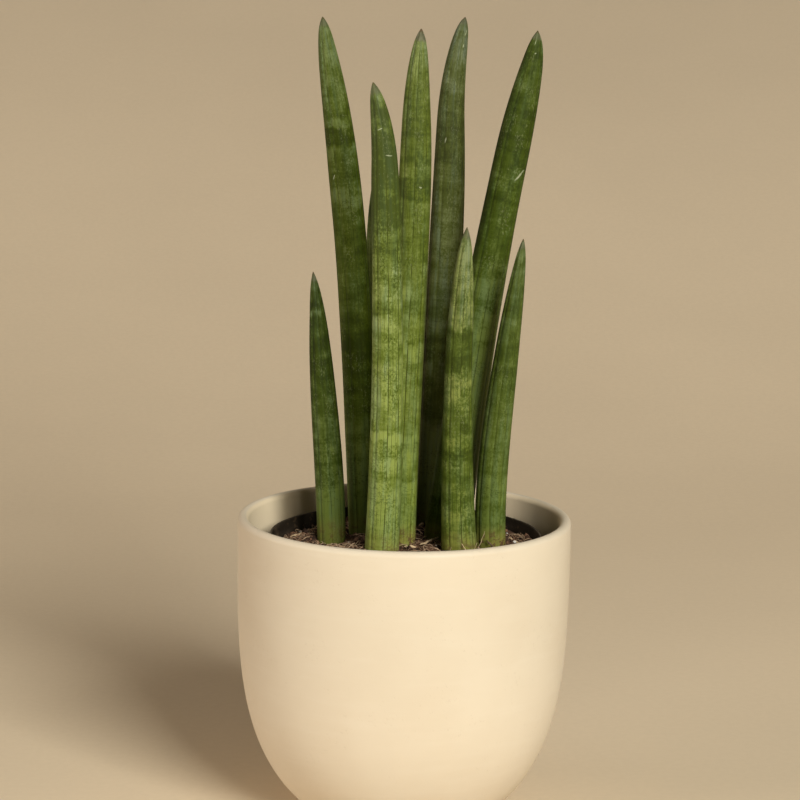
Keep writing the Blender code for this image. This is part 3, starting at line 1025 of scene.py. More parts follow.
@dataclass(frozen=True)
class NurseryPot:
    """Thin black tub with a stepped rim band, standing on the cover pot's floor."""

    base: float = 8.3
    rim: float = 127.5
    centre_x: float = NURSERY_SHIFT
    rim_radius: float = 61.4
    band: float = 14.0
    step: float = 1.4
    flare: float = 0.4
    base_radius: float = 41.5
    corner: float = 2.5
    wall: float = 1.2
    drains: int = 6
    drain_radius: float = 3.5
    drain_circle: float = 30.0
    drain_turn: float = 32.0
    drain_sides: int = 20
    turned_steps: int = 156

    def outside(self) -> list[tuple[float, float]]:
        """Outer line from the middle of the base up to the rim's outer edge.

        Returns:
            (radius, height) pairs in millimetres.
        """
        side_top = self.rim_radius - self.flare - self.step
        band = self.rim - self.band
        points = [(0.0, self.base)]
        points += arc((self.base_radius - self.corner, self.base + self.corner), self.corner, -90.0, -8.0, 6)
        points += [(side_top - 0.1, band - 0.6), (side_top + 0.3, band + 0.1)]
        points += [(side_top + self.step - 0.3, band + self.step - 0.2)]
        points += [(side_top + self.step, band + self.step + 0.4)]
        return points

    def inside(self, radius: float, height: float) -> tuple[float, float]:
        """Point of the inner line beside a point of the outer one.

        Args:
            radius: The outer point's radius.
            height: Its height.

        Returns:
            The inner (radius, height).
        """
        return max(0.0, radius - self.wall), max(height, self.base + self.wall)

    def profile(self) -> list[tuple[float, float]]:
        """Closed outline of the tub's wall with a rolled rim.

        Returns:
            (radius, height) pairs in metres.
        """
        outer = self.outside()
        bead = self.wall / 2.0
        rim_centre = (self.rim_radius - bead, self.rim - bead)
        inner = [self.inside(*point) for point in outer]
        points = inner + arc(rim_centre, bead, 180.0, 0.0, 8) + outer[::-1]
        return [(radius * MM, height * MM) for radius, height in points]

    def build(self, effects: Effects) -> None:
        """Make the tub, drill its drain holes and put it in place.

        Args:
            effects: The shared node groups.
        """
        piece = finish_piece("nursery_pot_moulded", turn_profile(self.profile(), self.turned_steps),
                             BlackPlastic().material(effects))
        drills = bmesh.new()
        for i in range(self.drains):
            angle = math.radians(self.drain_turn + 360.0 * i / self.drains)
            spot = Vector((math.cos(angle), math.sin(angle), 0.0)) * self.drain_circle * MM
            spot.z = self.base * MM
            bmesh.ops.create_cone(drills, cap_ends=True, segments=self.drain_sides,
                                  radius1=self.drain_radius * MM, radius2=self.drain_radius * MM,
                                  depth=4.0 * self.wall * MM, matrix=Matrix.Translation(spot))
        cutter = finish_piece("drills", drills, piece.data.materials[0])
        drill = piece.modifiers.new("drill", "BOOLEAN")
        drill.operation = "DIFFERENCE"
        drill.object = cutter
        graph = bpy.context.evaluated_depsgraph_get()
        piece.data = bpy.data.meshes.new_from_object(piece.evaluated_get(graph))
        piece.modifiers.clear()
        bpy.data.objects.remove(cutter, do_unlink=True)
        piece.data.transform(Matrix.Translation((self.centre_x * MM, 0.0, 0.0)))
        place_piece(piece, "black_plastic", "nursery_pot")


# ---------------------------------------------------------------- leaves


@dataclass(frozen=True)
class Band:
    """A cross band from one height above the soil to another, lighter above 0 and darker below."""

    low: float
    high: float
    tone: float
    edge: float = 1.2


@dataclass(frozen=True)
class LeafForm:
    """The leaf's driving dimensions, as in the frame."""

    foot: tuple[float, float]
    tip: Point
    foot_lean: float
    tip_lean: float
    hook: float
    hook_reach: float
    girth: float
    foot_girth: float
    taper: float
    bluntness: float
    turn: float


@dataclass(frozen=True)
class Leaf:
    """One leaf: a straight spun tube, bent onto the leaf's line and grooved lengthwise.

    A strip is the skin between two grooves. The nib draws the last of the point in. Ragged and
    patch hold the size of their waves round and along the leaf, and how far they reach.
    """

    name: str
    slot: str
    form: LeafForm
    finish: LeafFinish
    bands: tuple[Band, ...] = ()
    seed: float = 0.0
    sunk: float = 22.0
    sides: int = 96
    ring_step: float = 1.0
    grooves: int = 8
    groove_depth: float = 0.35
    groove_width: float = 0.6
    groove_share: float = 0.1
    swell: float = 0.12
    swell_patch: Span = (9.0, 34.0)
    swell_fade: float = 4.0
    nib: float = 0.55
    nib_length: float = 2.0
    ragged: tuple[tuple[float, float, float], ...] = ((1.1, 14.0, 1.8), (6.0, 20.0, 2.0))
    patch: tuple[float, float, float] = (7.0, 12.0, 0.5)
    strip_step: float = 3.5
    strip_tone: float = 0.45
    strip_length: float = 5.5

    def ends(self) -> tuple[np.ndarray, np.ndarray]:
        """Foot and point, the point before its hook is added.

        Returns:
            Both in metres.
        """
        form = self.form
        foot = np.array((form.foot[0], form.foot[1], RIM_HEIGHT - SOIL_DROP)) * MM
        tip = np.array((form.tip[0] - form.hook, form.tip[1], RIM_HEIGHT + form.tip[2])) * MM
        return foot, tip

    def length(self) -> float:
        """Measure the leaf from its foot to its point.

        Returns:
            The distance in metres.
        """
        foot, tip = self.ends()
        tip = tip + np.array((self.form.hook * MM, 0.0, 0.0))
        return float(np.linalg.norm(tip - foot))

    def first_groove(self) -> float:
        """Angle of the first groove, in radians from +X."""
        return math.radians(self.form.turn - 90.0)

    def lean(self, degrees: float) -> np.ndarray:
        """Unit direction that leans sideways by an angle, and back as the whole leaf does.

        Args:
            degrees: Lean to the right of upright.

        Returns:
            The direction.
        """
        foot, tip = self.ends()
        slope = (tip[1] - foot[1]) / np.linalg.norm(tip - foot)
        way = np.array((math.sin(math.radians(degrees)), slope, math.cos(math.radians(degrees))))
        return way / np.linalg.norm(way)

    def line(self, share: np.ndarray) -> np.ndarray:
        """Centre line, straight on down below the soil.

        Args:
            share: 0 at the soil, 1 at the point, below 0 in the soil.

        Returns:
            A point for each share, in metres.
        """
        foot, tip = self.ends()
        span = np.linalg.norm(tip - foot)
        rise = foot + self.lean(self.form.foot_lean) * span / 3.0
        fall = tip - self.lean(self.form.tip_lean) * span / 3.0
        t = np.clip(share, 0.0, 1.0)[:, None]
        points = foot * (1 - t) ** 3 + rise * (3 * (1 - t) ** 2 * t) + fall * (3 * (1 - t) * t ** 2)
        points = points + tip * t ** 3
        drawn = np.clip(1.0 - span * (1.0 - t[:, 0]) / (self.form.hook_reach * MM), 0.0, 1.0)
        points[:, 0] += self.form.hook * MM * drawn ** 2
        below = np.clip(share, None, 0.0)[:, None] * self.length()
        return points + below * self.lean(self.form.foot_lean)

    def radius(self, from_tip: np.ndarray) -> np.ndarray:
        """Radius at a distance from the point.

        Args:
            from_tip: Distances in metres.

        Returns:
            Radii in metres.
        """
        form = self.form
        closing = np.clip(from_tip / (form.taper * MM), 0.0, 1.0)
        point = (1.0 - (1.0 - closing) ** 2) ** form.bluntness
        point = point * (1.0 - self.nib * np.exp(-from_tip / (self.nib_length * MM)))
        along = np.clip(from_tip / self.length(), 0.0, 1.0) ** 1.5
        return (form.girth + (form.foot_girth - form.girth) * along) * point * MM

    def straight_tube(self) -> bmesh.types.BMesh:
        """Spin a tube of radius 1 whose height is the share of the leaf's length.

        Returns:
            The tube, closed at both ends.
        """
        length = self.length() / MM
        count = round((length + self.sunk) / self.ring_step)
        start = -self.sunk / length
        shares = [start + (1.0 - start) * (1.0 - (1.0 - i / count) ** 1.25) for i in range(count)]
        profile = [(0.0, start)] + [(1.0, share) for share in shares] + [(0.0, 1.0)]
        return turn_profile(profile, self.sides)

    def shape(self, mesh: bpy.types.Mesh) -> None:
        """Bend the straight tube onto the leaf, cut its grooves and store its straight coordinates.

        Args:
            mesh: The tube's mesh, which is changed.
        """
        straight = np.empty(len(mesh.vertices) * 3, dtype=np.float32)
        mesh.vertices.foreach_get("co", straight)
        straight = straight.reshape(-1, 3).astype(float)
        share = straight[:, 2]
        angle = np.arctan2(straight[:, 1], straight[:, 0])
        on_skin = np.hypot(straight[:, 0], straight[:, 1]) > 0.5
        length = self.length()
        centre = self.line(share)
        ahead = self.line(share + 0.001) - self.line(share - 0.001)
        ahead /= np.linalg.norm(ahead, axis=1)[:, None]
        across = np.cross(ahead, np.array((1.0, 0.0, 0.0)))
        across /= np.linalg.norm(across, axis=1)[:, None]
        side = np.cross(across, ahead)
        radius = self.radius((1.0 - share) * length)
        pitch = 2.0 * math.pi / self.grooves
        off = (angle - self.first_groove() + pitch / 2.0) % pitch - pitch / 2.0
        depth = np.minimum(self.groove_depth * MM, radius * self.groove_share)
        groove = depth * np.exp(-(off * radius / (self.groove_width * MM)) ** 2)
        swell = self.waver(angle, share * length / MM, *self.swell_patch) * self.swell * MM
        swell *= np.clip(radius / (self.swell_fade * MM), 0.0, 1.0)
        reach = np.where(on_skin, radius - groove + swell, 0.0)[:, None]
        place = centre + (side * np.cos(angle)[:, None] + across * np.sin(angle)[:, None]) * reach
        mesh.vertices.foreach_set("co", place.astype(np.float32).ravel())
        mesh.update()
        girth = self.form.girth * MM
        space = np.stack((girth * np.cos(angle), girth * np.sin(angle), share * length), axis=1)
        layer = mesh.attributes.new("leaf_space", "FLOAT_VECTOR", "POINT")
        layer.data.foreach_set("vector", space.astype(np.float32).ravel())

    def waver(self, angle: np.ndarray, height: np.ndarray, across: float, along: float) -> np.ndarray:
        """Smooth noise over the leaf's skin.

        Args:
            angle: Angle of each point, in radians.
            height: Height of each point, in millimetres.
            across: Size of its patches round the leaf, in millimetres.
            along: Size of its patches along the leaf.

        Returns:
            Values from about -1 to 1.
        """
        girth = self.form.girth / across
        x = girth * np.cos(angle) + self.seed
        y = girth * np.sin(angle)
        z = height / along
        return np.array([noise.noise(Vector(point)) for point in zip(x, y, z)])

    def tones(self, mesh: bpy.types.Mesh) -> np.ndarray:
        """Tone of the cross bands at every vertex, with ragged streaky edges.

        Args:
            mesh: The leaf's mesh.

        Returns:
            One tone for each vertex.
        """
        space = np.empty(len(mesh.vertices) * 3, dtype=np.float32)
        mesh.attributes["leaf_space"].data.foreach_get("vector", space)
        space = space.reshape(-1, 3)
        angle = np.arctan2(space[:, 1], space[:, 0])
        height = space[:, 2] / MM
        strip = np.floor((angle - self.first_groove()) / (2.0 * math.pi) * self.grooves) % self.grooves
        own = np.array([noise.noise(Vector((i * 3.7 + 0.5, self.seed, 0.3))) for i in range(self.grooves)])
        at = height + own[strip.astype(int)] * self.strip_step
        for across, along, reach in self.ragged:
            at = at + self.waver(angle, height, across, along) * reach
        cell = np.array([noise.noise(Vector((i * 5.3 + self.seed, 2.0, h / self.strip_length)))
                         for i, h in zip(strip, height)])
        across, along, reach = self.patch
        patchy = 1.0 + reach * self.waver(angle + 2.0, height, across, along)
        total = np.zeros(len(at))
        for band in self.bands:
            rise = np.clip((at - band.low) / band.edge + 0.5, 0.0, 1.0)
            fall = np.clip((band.high - at) / band.edge + 0.5, 0.0, 1.0)
            total += band.tone * rise * fall
        return total * patchy + cell * self.strip_tone

    def build(self, effects: Effects) -> None:
        """Make the leaf and put it in place.

        Args:
            effects: The shared node groups.
        """
        girth = self.form.girth * MM
        skin = self.finish.material(self.name + "_skin", effects, self.length(), self.first_groove(), girth)
        piece = finish_piece(self.name + "_skin", self.straight_tube(), skin, ALL_SMOOTH)
        self.shape(piece.data)
        set_tone(piece, self.tones(piece.data))
        place_piece(piece, self.slot, self.name)


def leaf_set() -> list[Leaf]:
    """The nine leaves, from left to right in their rows.

    Returns:
        The leaves.
    """
    return [
        Leaf("leaf_tall_left", "leaf_dark",
             LeafForm((-17.6, 22), (-40.1, 27, 220.7), -3.3, -11.9, 0.8, 24, 7.05, 7.8, 90, 0.47, 15),
             LeafFinish(dark=(0.0264, 0.0372, 0.0024), green=(0.0564, 0.0780, 0.0075),
                        pale=(0.1104, 0.1464, 0.0265), mottle=0.45, lines=0.5, point=4.0,
                        scars=(Scar(-40.0, 162.8, 70.0, 1.4, 0.3),)),
             # The three lowest bands are painted light: they lift the foot, which lies in the other leaves'
             # shade.
             (Band(-5, 13, 1.3, 6.0), Band(13, 32, 1.0, 6.0), Band(32, 54, 0.4, 5.0),
              Band(56, 100, -0.4, 8.0), Band(83, 89, -0.4, 2.0), Band(100, 122, -0.15, 4.0),
              Band(124, 150, -0.35, 3.0), Band(150, 157, 0.45, 2.0), Band(158, 172, -0.15, 2.0),
              Band(173, 176, 0.25), Band(177, 185, -0.75), Band(185.5, 189, 0.1), Band(190, 194, -0.35),
              Band(194, 214, 0.2, 3.0), Band(214, 232, 0.5, 5.0)),
             seed=1.3),
        Leaf("leaf_short_left", "leaf_dark",
             LeafForm((-33.1, 12), (-42.5, 8, 108.6), -1.4, -2.2, -1.3, 29, 7.25, 6.5, 119, 0.56, 5),
             LeafFinish(dark=(0.0182, 0.0263, 0.0030), green=(0.0364, 0.0535, 0.0055),
                        pale=(0.0949, 0.1283, 0.0242), mottle=0.45, lines=0.5, point=4.0),
             (Band(-5, 13, 1.5, 5.0), Band(13, 23, 0.9, 4.0), Band(23, 32, 0.25, 3.0),
              Band(33, 56, 0.1, 3.0), Band(45, 47.5, 0.15), Band(53.5, 56, 0.15), Band(57, 71, -0.1, 2.0),
              Band(71.5, 83.5, -0.45, 2.0), Band(86.5, 101.5, -0.45, 2.0), Band(102, 104.5, 0.2),
              Band(104.8, 107.8, -0.8), Band(110.5, 113.5, -0.4)),
             seed=4.1),
        Leaf("leaf_front_left", "leaf_light",
             LeafForm((-9.9, -18), (-16.5, -23, 194.7), 2.4, -3.1, -3.8, 36, 6.2, 7.65, 59, 0.48, 5),
             LeafFinish(dark=(0.0454, 0.0616, 0.0108), green=(0.1157, 0.1514, 0.0282),
                        pale=(0.2054, 0.2541, 0.0568), mottle=0.8, mottle_top=155.0, lines=0.9, point=5.0,
                        scars=(Scar(-8.0, 187.7, 12.0, 1.7, 0.3), Scar(22.0, 176.2, -8.0, 1.9, 0.3))),
             (Band(-5, 31, 0.5, 4.0), Band(37, 44.5, 0.4, 2.0), Band(45, 50.5, 0.1), Band(51, 54.5, 1.5),
              Band(60, 90, 0.3, 3.0), Band(101.5, 104.5, 0.4), Band(105, 110.5, -0.25),
              Band(111, 119, 0.15, 2.0), Band(120, 131, -0.15, 3.0), Band(131, 147, -0.5, 3.0),
              Band(147, 201, -0.95, 3.0), Band(187.5, 192.5, 0.35), Band(198, 202, 0.3)),
             seed=7.7),
        Leaf("leaf_back_left", "leaf_mid",
             LeafForm((-5.7, 37), (-14.6, 40, 152.4), -4.9, -11.5, 6.0, 65, 6.45, 6.75, 66, 0.57, -10),
             LeafFinish(dark=(0.0350, 0.0474, 0.0062), green=(0.0721, 0.0958, 0.0113),
                        pale=(0.1339, 0.1700, 0.0283)),
             (Band(140, 150, -0.4, 3.0), Band(110, 124, -0.3, 3.0), Band(80, 92, 0.3, 3.0),
              Band(50, 62, -0.3, 3.0), Band(20, 30, 0.3, 3.0)),
             seed=9.2),
        Leaf("leaf_tall_centre", "leaf_light",
             LeafForm((-2.3, -1), (4.0, 3, 216.9), 1.1, -1.5, 2.0, 41, 7.25, 7.45, 77, 0.48, 0),
             LeafFinish(dark=(0.0416, 0.0572, 0.0083), green=(0.0915, 0.1196, 0.0166),
                        pale=(0.1664, 0.2101, 0.0373), mottle=0.45, lines=0.9, point=5.3,
                        point_colour=(0.16, 0.15, 0.10), dryness=0.85, soiling=0.9,
                        scars=(Scar(20.0, 160.5, -20.0, 0.8, 0.35),)),
             (Band(-5, 24, 0.5, 3.0), Band(25, 30, 1.2), Band(30, 36, 0.3), Band(36, 42, 0.45),
              Band(42, 48, 0.3), Band(48, 51, 0.85), Band(51, 54, 0.3), Band(56, 90, 0.2, 3.0),
              Band(65.5, 71, 0.15), Band(87, 92.8, 0.8), Band(96, 98.5, -0.2), Band(99, 104, 0.2),
              Band(104.5, 107, -0.2), Band(108, 116, 0.15), Band(126, 154, -0.3, 3.0),
              Band(155, 164.5, -0.68), Band(165, 171, -0.25), Band(171, 173.5, -0.55), Band(174, 180, -0.3),
              Band(180, 192, -0.5, 2.0), Band(192, 206, -0.32, 2.0), Band(220, 225, 0.3, 2.0)),
             seed=12.6),
        Leaf("leaf_back_right", "leaf_olive",
             LeafForm((12.4, 41), (24.0, 50, 220.8), 1.9, -1.2, 6.0, 48, 7.9, 7.9, 129, 0.42, 20),
             LeafFinish(dark=(0.0339, 0.0413, 0.0085), green=(0.0689, 0.0848, 0.0184),
                        pale=(0.1251, 0.1505, 0.0404), mottle=0.45, lines=0.3, point=3.0,
                        scars=(Scar(40.0, 227.0, 60.0, 2.0, 0.4), Scar(30.0, 221.0, 80.0, 1.0, 0.35),
                               Scar(-20.0, 178.0, 75.0, 1.6, 0.4))),
             # The lowest band is painted light: it lifts the foot, which lies in the shade of the leaves in
             # front.
             (Band(-5, 48, 1.3, 8.0), Band(52, 68, -0.2, 4.0), Band(69, 77.5, 0.3, 2.0),
              Band(78, 89.5, -0.3, 2.0), Band(90, 98.5, 0.3, 2.0), Band(111, 140, 0.18, 3.0),
              Band(123, 126, 0.15), Band(150, 155.5, -0.2), Band(162, 168, -0.15),
              Band(168, 185.5, -0.55, 1.6), Band(173.5, 178, 0.2), Band(185.5, 200, -0.32, 1.4),
              Band(200.5, 232, 0.15, 1.4), Band(156, 220, -0.15, 6.0), Band(219, 232, 0.12, 2.0)),
             seed=15.4),
        Leaf("leaf_tall_right", "leaf_dark",
             LeafForm((19.5, 11), (55.7, 20, 216.3), 6.1, 12.8, -1.2, 20, 7.2, 10.5, 57, 0.54, 10),
             LeafFinish(dark=(0.0238, 0.0352, 0.0032), green=(0.0487, 0.0709, 0.0068),
                        pale=(0.1014, 0.1376, 0.0238), mottle=0.45, lines=0.5, point=4.0,
                        point_colour=(0.14, 0.14, 0.085),
                        scars=(Scar(-8.0, 226.3, 70.0, 1.4, 0.4), Scar(6.0, 221.5, 20.0, 0.9, 0.4),
                               Scar(42.0, 167.6, 60.0, 4.0, 0.5))),
             # The lowest band is painted shade on the foot; the next is painted light, lifting the lower
             # part that the leaves beside it shade.
             (Band(-5, 19, -0.3, 8.0), Band(24, 92, 1.3, 10.0), Band(92, 105, 0.5, 3.0),
              Band(107, 119, 0.35, 2.0), Band(119, 128, 0.15, 2.0), Band(129, 161, -0.35, 3.0),
              Band(167, 200, -0.5, 3.0), Band(200, 206, -0.25), Band(212, 221, -0.5), Band(222, 225, -0.1)),
             seed=18.9),
        Leaf("leaf_front_right", "leaf_light",
             LeafForm((24.8, -15), (25.2, -19, 132.5), -4.5, -5.0, 4.9, 70, 5.35, 7.9, 53, 0.56, 10),
             LeafFinish(dark=(0.0350, 0.0484, 0.0072), green=(0.0711, 0.0979, 0.0155),
                        pale=(0.1660, 0.1980, 0.0380), mottle=0.6, lines=0.95, point=4.5,
                        point_colour=(0.13, 0.115, 0.07), soiling=0.7),
             (Band(-5, 8.5, 0.45, 2.0), Band(14.5, 20.5, 0.3), Band(21, 26, -0.2), Band(32.5, 35.5, -0.45),
              Band(41.5, 47.5, -0.55), Band(53.5, 59.5, -0.3), Band(64, 67.5, -0.2),
              Band(72, 82, 0.42, 2.0), Band(82.8, 89, -0.9, 0.8), Band(89, 94, -0.5, 2.0),
              Band(94, 100, -0.8, 2.0), Band(100.5, 103.5, 0.35), Band(105, 113, 0.6, 2.0),
              Band(113, 119, 0.25, 2.0), Band(119, 128.5, 0.55, 2.0), Band(128.5, 139, 0.8, 2.0)),
             seed=22.3),
        Leaf("leaf_short_right", "leaf_mid",
             LeafForm((38.8, -3), (50.4, -6, 126.4), -2.5, 2.6, 1.7, 51, 6.9, 6.95, 127, 0.53, -5),
             LeafFinish(dark=(0.0297, 0.0424, 0.0064), green=(0.0604, 0.0848, 0.0123),
                        pale=(0.1124, 0.1505, 0.0293), mottle=0.45, lines=0.5, point=4.5,
                        point_colour=(0.11, 0.11, 0.07), soiling=1.0),
             (Band(-5, 8, 0.8, 3.0), Band(8, 23, 0.4, 3.0), Band(23, 33, 0.65, 2.0),
              Band(33, 66, 0.15, 3.0), Band(68, 99, -0.2, 4.0), Band(92, 98, -0.1),
              Band(105, 119, -0.32, 2.0), Band(128, 131, -0.3), Band(132, 140, 0.2)),
             seed=26.8),
    ]


# ---------------------------------------------------------------- soil and litter


@dataclass(frozen=True)
class SoilBed:
    """Soil in the nursery pot: the frame's low heap and lumps, with crumbs worked in.

    A layer of relief is its rise, the size of its lumps and the level where its noise is read. A
    mound is its place to the right and to the back, its size and its rise.
    """

    top: float = RIM_HEIGHT - SOIL_DROP
    fall: float = 3.0
    edge_radius: float = 59.6
    reach: float = 61.4
    bottom: float = 9.8
    bottom_radius: float = 39.2
    centre_x: float = NURSERY_SHIFT
    ring_step: float = 0.72
    turned_steps: int = 340
    relief: tuple[tuple[float, float, float], ...] = (
        (1.5, 13.0, 2.5), (0.9, 6.0, 7.5), (0.55, 2.6, 4.5), (0.35, 1.25, 9.5))
    mounds: tuple[tuple[float, float, float, float], ...] = (
        (-33.9, 5.0, 11.0, -3.4), (50.0, 8.0, 12.0, 2.4))
    socket_gap: float = 0.6
    shoulder: tuple[Span, ...] = ((0.4, 10.0), (2.0, 13.0))
    tone_patch: float = 5.0
    finish: Earth = Earth("soil", (0.020, 0.010, 0.006), (0.105, 0.052, 0.027), (0.26, 0.16, 0.09))

    def height(self, x: float, y: float, layers: int = 4) -> float:
        """Height of the soil at a place measured from the nursery pot's centre.

        Args:
            x: Place in millimetres.
            y: Place in millimetres.
            layers: How many sizes of lump are counted, coarse ones first.

        Returns:
            The height in millimetres.
        """
        out = min(1.0, math.hypot(x, y) / self.reach)
        total = self.top - self.fall * out ** 3
        for rise, size, level in self.relief[:layers]:
            total += rise * noise.noise(Vector((x / size, y / size, level)))
        for across, back, size, rise in self.mounds:
            total += rise * math.exp(-((x - across) ** 2 + (y - back) ** 2) / size ** 2)
        return total

    def in_socket(self, x: float, y: float, leaf: Leaf) -> float:
        """How deep a leaf's socket goes at a place.

        Args:
            x: Place in millimetres, from the nursery pot's centre.
            y: Place in millimetres.
            leaf: The leaf.

        Returns:
            The depth in millimetres, 0 outside the socket.
        """
        away = math.hypot(x + self.centre_x - leaf.form.foot[0], y - leaf.form.foot[1])
        return leaf.sunk + 1.0 if away < leaf.form.foot_girth - self.socket_gap else 0.0

    def build(self, effects: Effects, leaves: Sequence[Leaf]) -> None:
        """Make the soil, sink a socket for each leaf and put it in place.

        Args:
            effects: The shared node groups.
            leaves: The leaves that stand in it.
        """
        rings = round(self.edge_radius / self.ring_step)
        profile = [(self.edge_radius * i / rings, self.top) for i in range(rings + 1)]
        profile += [(self.edge_radius - inward, self.top - down) for inward, down in self.shoulder]
        profile += [(self.bottom_radius, self.bottom), (0.0, self.bottom)]
        bm = turn_profile([(radius * MM, height * MM) for radius, height in profile], self.turned_steps)
        for vertex in bm.verts:
            if abs(vertex.co.z / MM - self.top) < 0.001:
                x, y = vertex.co.x / MM, vertex.co.y / MM
                sunk = max(self.in_socket(x, y, leaf) for leaf in leaves)
                vertex.co.z = (self.height(x, y) - sunk) * MM
        bmesh.ops.translate(bm, verts=bm.verts, vec=(self.centre_x * MM, 0.0, 0.0))
        piece = finish_piece("soil_bed", bm, self.finish.material(effects), ALL_SMOOTH)
        size = self.tone_patch * MM
        set_tone(piece, [0.5 + 0.5 * noise.noise(vertex.co / size) for vertex in piece.data.vertices])
        place_piece(piece, "soil", "soil")


class Heap:
    """Many small shapes gathered in one mesh, each with its own tone."""

    BATCH = 700
    GRAIN_UNEVEN = 0.3
    FINE_GRAIN_UNEVEN = 0.24
    FLAKE_UNEVEN = 0.28
    SHARP = 50.0

    def __init__(self, seed: int) -> None:
        """Start empty.

        Args:
            seed: Seed of its random draws.
        """
        self.bm = bmesh.new()
        self.batches: list[bpy.types.Mesh] = []
        self.packed = 0
        self.tones: list[float] = []
        self.draw = random.Random(seed)

    def mark(self, tone: float) -> None:
        """Give the vertices added since the last call a tone, and set a full batch aside.

        Args:
            tone: The tone.
        """
        self.tones += [tone] * (self.packed + len(self.bm.verts) - len(self.tones))
        if len(self.bm.verts) > self.BATCH:
            self.set_aside()

    def set_aside(self) -> None:
        """Move what is in the bmesh to a batch of its own, because a small bmesh is quick to add to."""
        bmesh.ops.recalc_face_normals(self.bm, faces=self.bm.faces)
        batch = bpy.data.meshes.new("batch")
        self.bm.to_mesh(batch)
        self.packed += len(self.bm.verts)
        self.batches.append(batch)
        self.bm.clear()

    def turn(self) -> Matrix:
        """Draw a rotation.

        Returns:
            The rotation.
        """
        angles = [self.draw.uniform(0.0, 2.0 * math.pi) for _ in range(3)]
        turned = Matrix.Rotation(angles[0], 4, "X") @ Matrix.Rotation(angles[1], 4, "Y")
        return turned @ Matrix.Rotation(angles[2], 4, "Z")

    def jitter(self, verts: Iterable[bmesh.types.BMVert], centre: Vector, share: float) -> None:
        """Move vertices in or out from a centre at random.

        Args:
            verts: The vertices.
            centre: The centre.
            share: Largest move, as a share of the distance.
        """
        for vertex in verts:
            vertex.co = centre + (vertex.co - centre) * (1.0 + self.draw.uniform(-share, share))

    def grain(self, place: Vector, size: Vector, tone: float, finer: bool = False) -> None:
        """Add a rough crumb.

        Args:
            place: Its centre in metres.
            size: Its half sizes in metres.
            tone: Its tone.
            finer: Whether it gets more faces.
        """
        matrix = Matrix.Translation(place) @ self.turn() @ Matrix.Diagonal((*size, 1.0))
        made = bmesh.ops.create_icosphere(self.bm, subdivisions=2 if finer else 1, radius=1.0, matrix=matrix)
        self.jitter(made["verts"], place, self.FINE_GRAIN_UNEVEN if finer else self.GRAIN_UNEVEN)
        self.mark(tone)

    def flake(self, place: Vector, size: Vector, turned: Matrix, tone: float) -> None:
        """Add a flat chip with uneven edges.

        Args:
            place: Its centre in metres.
            size: Its full sizes in metres.
            turned: Its rotation.
            tone: Its tone.
        """
        before = len(self.bm.verts)
        matrix = Matrix.Translation(place) @ turned @ Matrix.Diagonal((*size, 1.0))
        made = bmesh.ops.create_cube(self.bm, size=1.0, matrix=matrix)
        edges = list({edge for vertex in made["verts"] for edge in vertex.link_edges})
        bmesh.ops.subdivide_edges(self.bm, edges=edges, cuts=1, use_grid_fill=True)
        self.jitter(list(self.bm.verts)[before:], place, self.FLAKE_UNEVEN)
        self.mark(tone)

    def strand(self, points: Sequence[Vector], radii: Sequence[float], tone: float, sides: int = 4) -> None:
        """Add a thin round piece along a line.

        Args:
            points: Its line in metres.
            radii: Its radius at each point in metres.
            tone: Its tone.
            sides: Sides of its section.
        """
        ahead = (points[1] - points[0]).normalized()
        turned = ahead.to_track_quat("Z", "Y").to_matrix().to_4x4()
        matrix = Matrix.Translation(points[0]) @ turned
        made = bmesh.ops.create_circle(self.bm, cap_ends=True, segments=sides, radius=radii[0],
                                       matrix=matrix)
        face = made["verts"][0].link_faces[0]
        if face.normal.dot(ahead) < 0.0:
            face.normal_flip()
        for i in range(1, len(points)):
            cap = bmesh.ops.extrude_face_region(self.bm, geom=[face])["geom"]
            face = next(part for part in cap if isinstance(part, bmesh.types.BMFace))
            after = (points[min(i + 1, len(points) - 1)] - points[i - 1]).normalized()
            swing = ahead.rotation_difference(after).to_matrix().to_4x4()
            scale = radii[i] / radii[i - 1]
            bmesh.ops.translate(self.bm, verts=face.verts, vec=points[i] - points[i - 1])
            move = Matrix.Translation(points[i]) @ swing @ Matrix.Scale(scale, 4)
            bmesh.ops.transform(self.bm, verts=face.verts, matrix=move @ Matrix.Translation(-points[i]))
            ahead = after
        self.mark(tone)

    def finish(self, name: str, material: bpy.types.Material) -> None:
        """Make one piece of it and put it in place.

        Args:
            name: The piece's name.
            material: Its material.
        """
        self.set_aside()
        for batch in self.batches:
            self.bm.from_mesh(batch)
            bpy.data.meshes.remove(batch)
        piece = finish_piece(name, self.bm, material, self.SHARP)
        set_tone(piece, self.tones)
        place_piece(piece, "soil")


@dataclass(frozen=True)
class Stick:
    """A splinter or twig on the soil, from one end to the other; its start may rise off the soil."""

    start: tuple[float, float]
    end: tuple[float, float]
    lift: float
    radius: float
    tone: float
    rise: float = 0.0


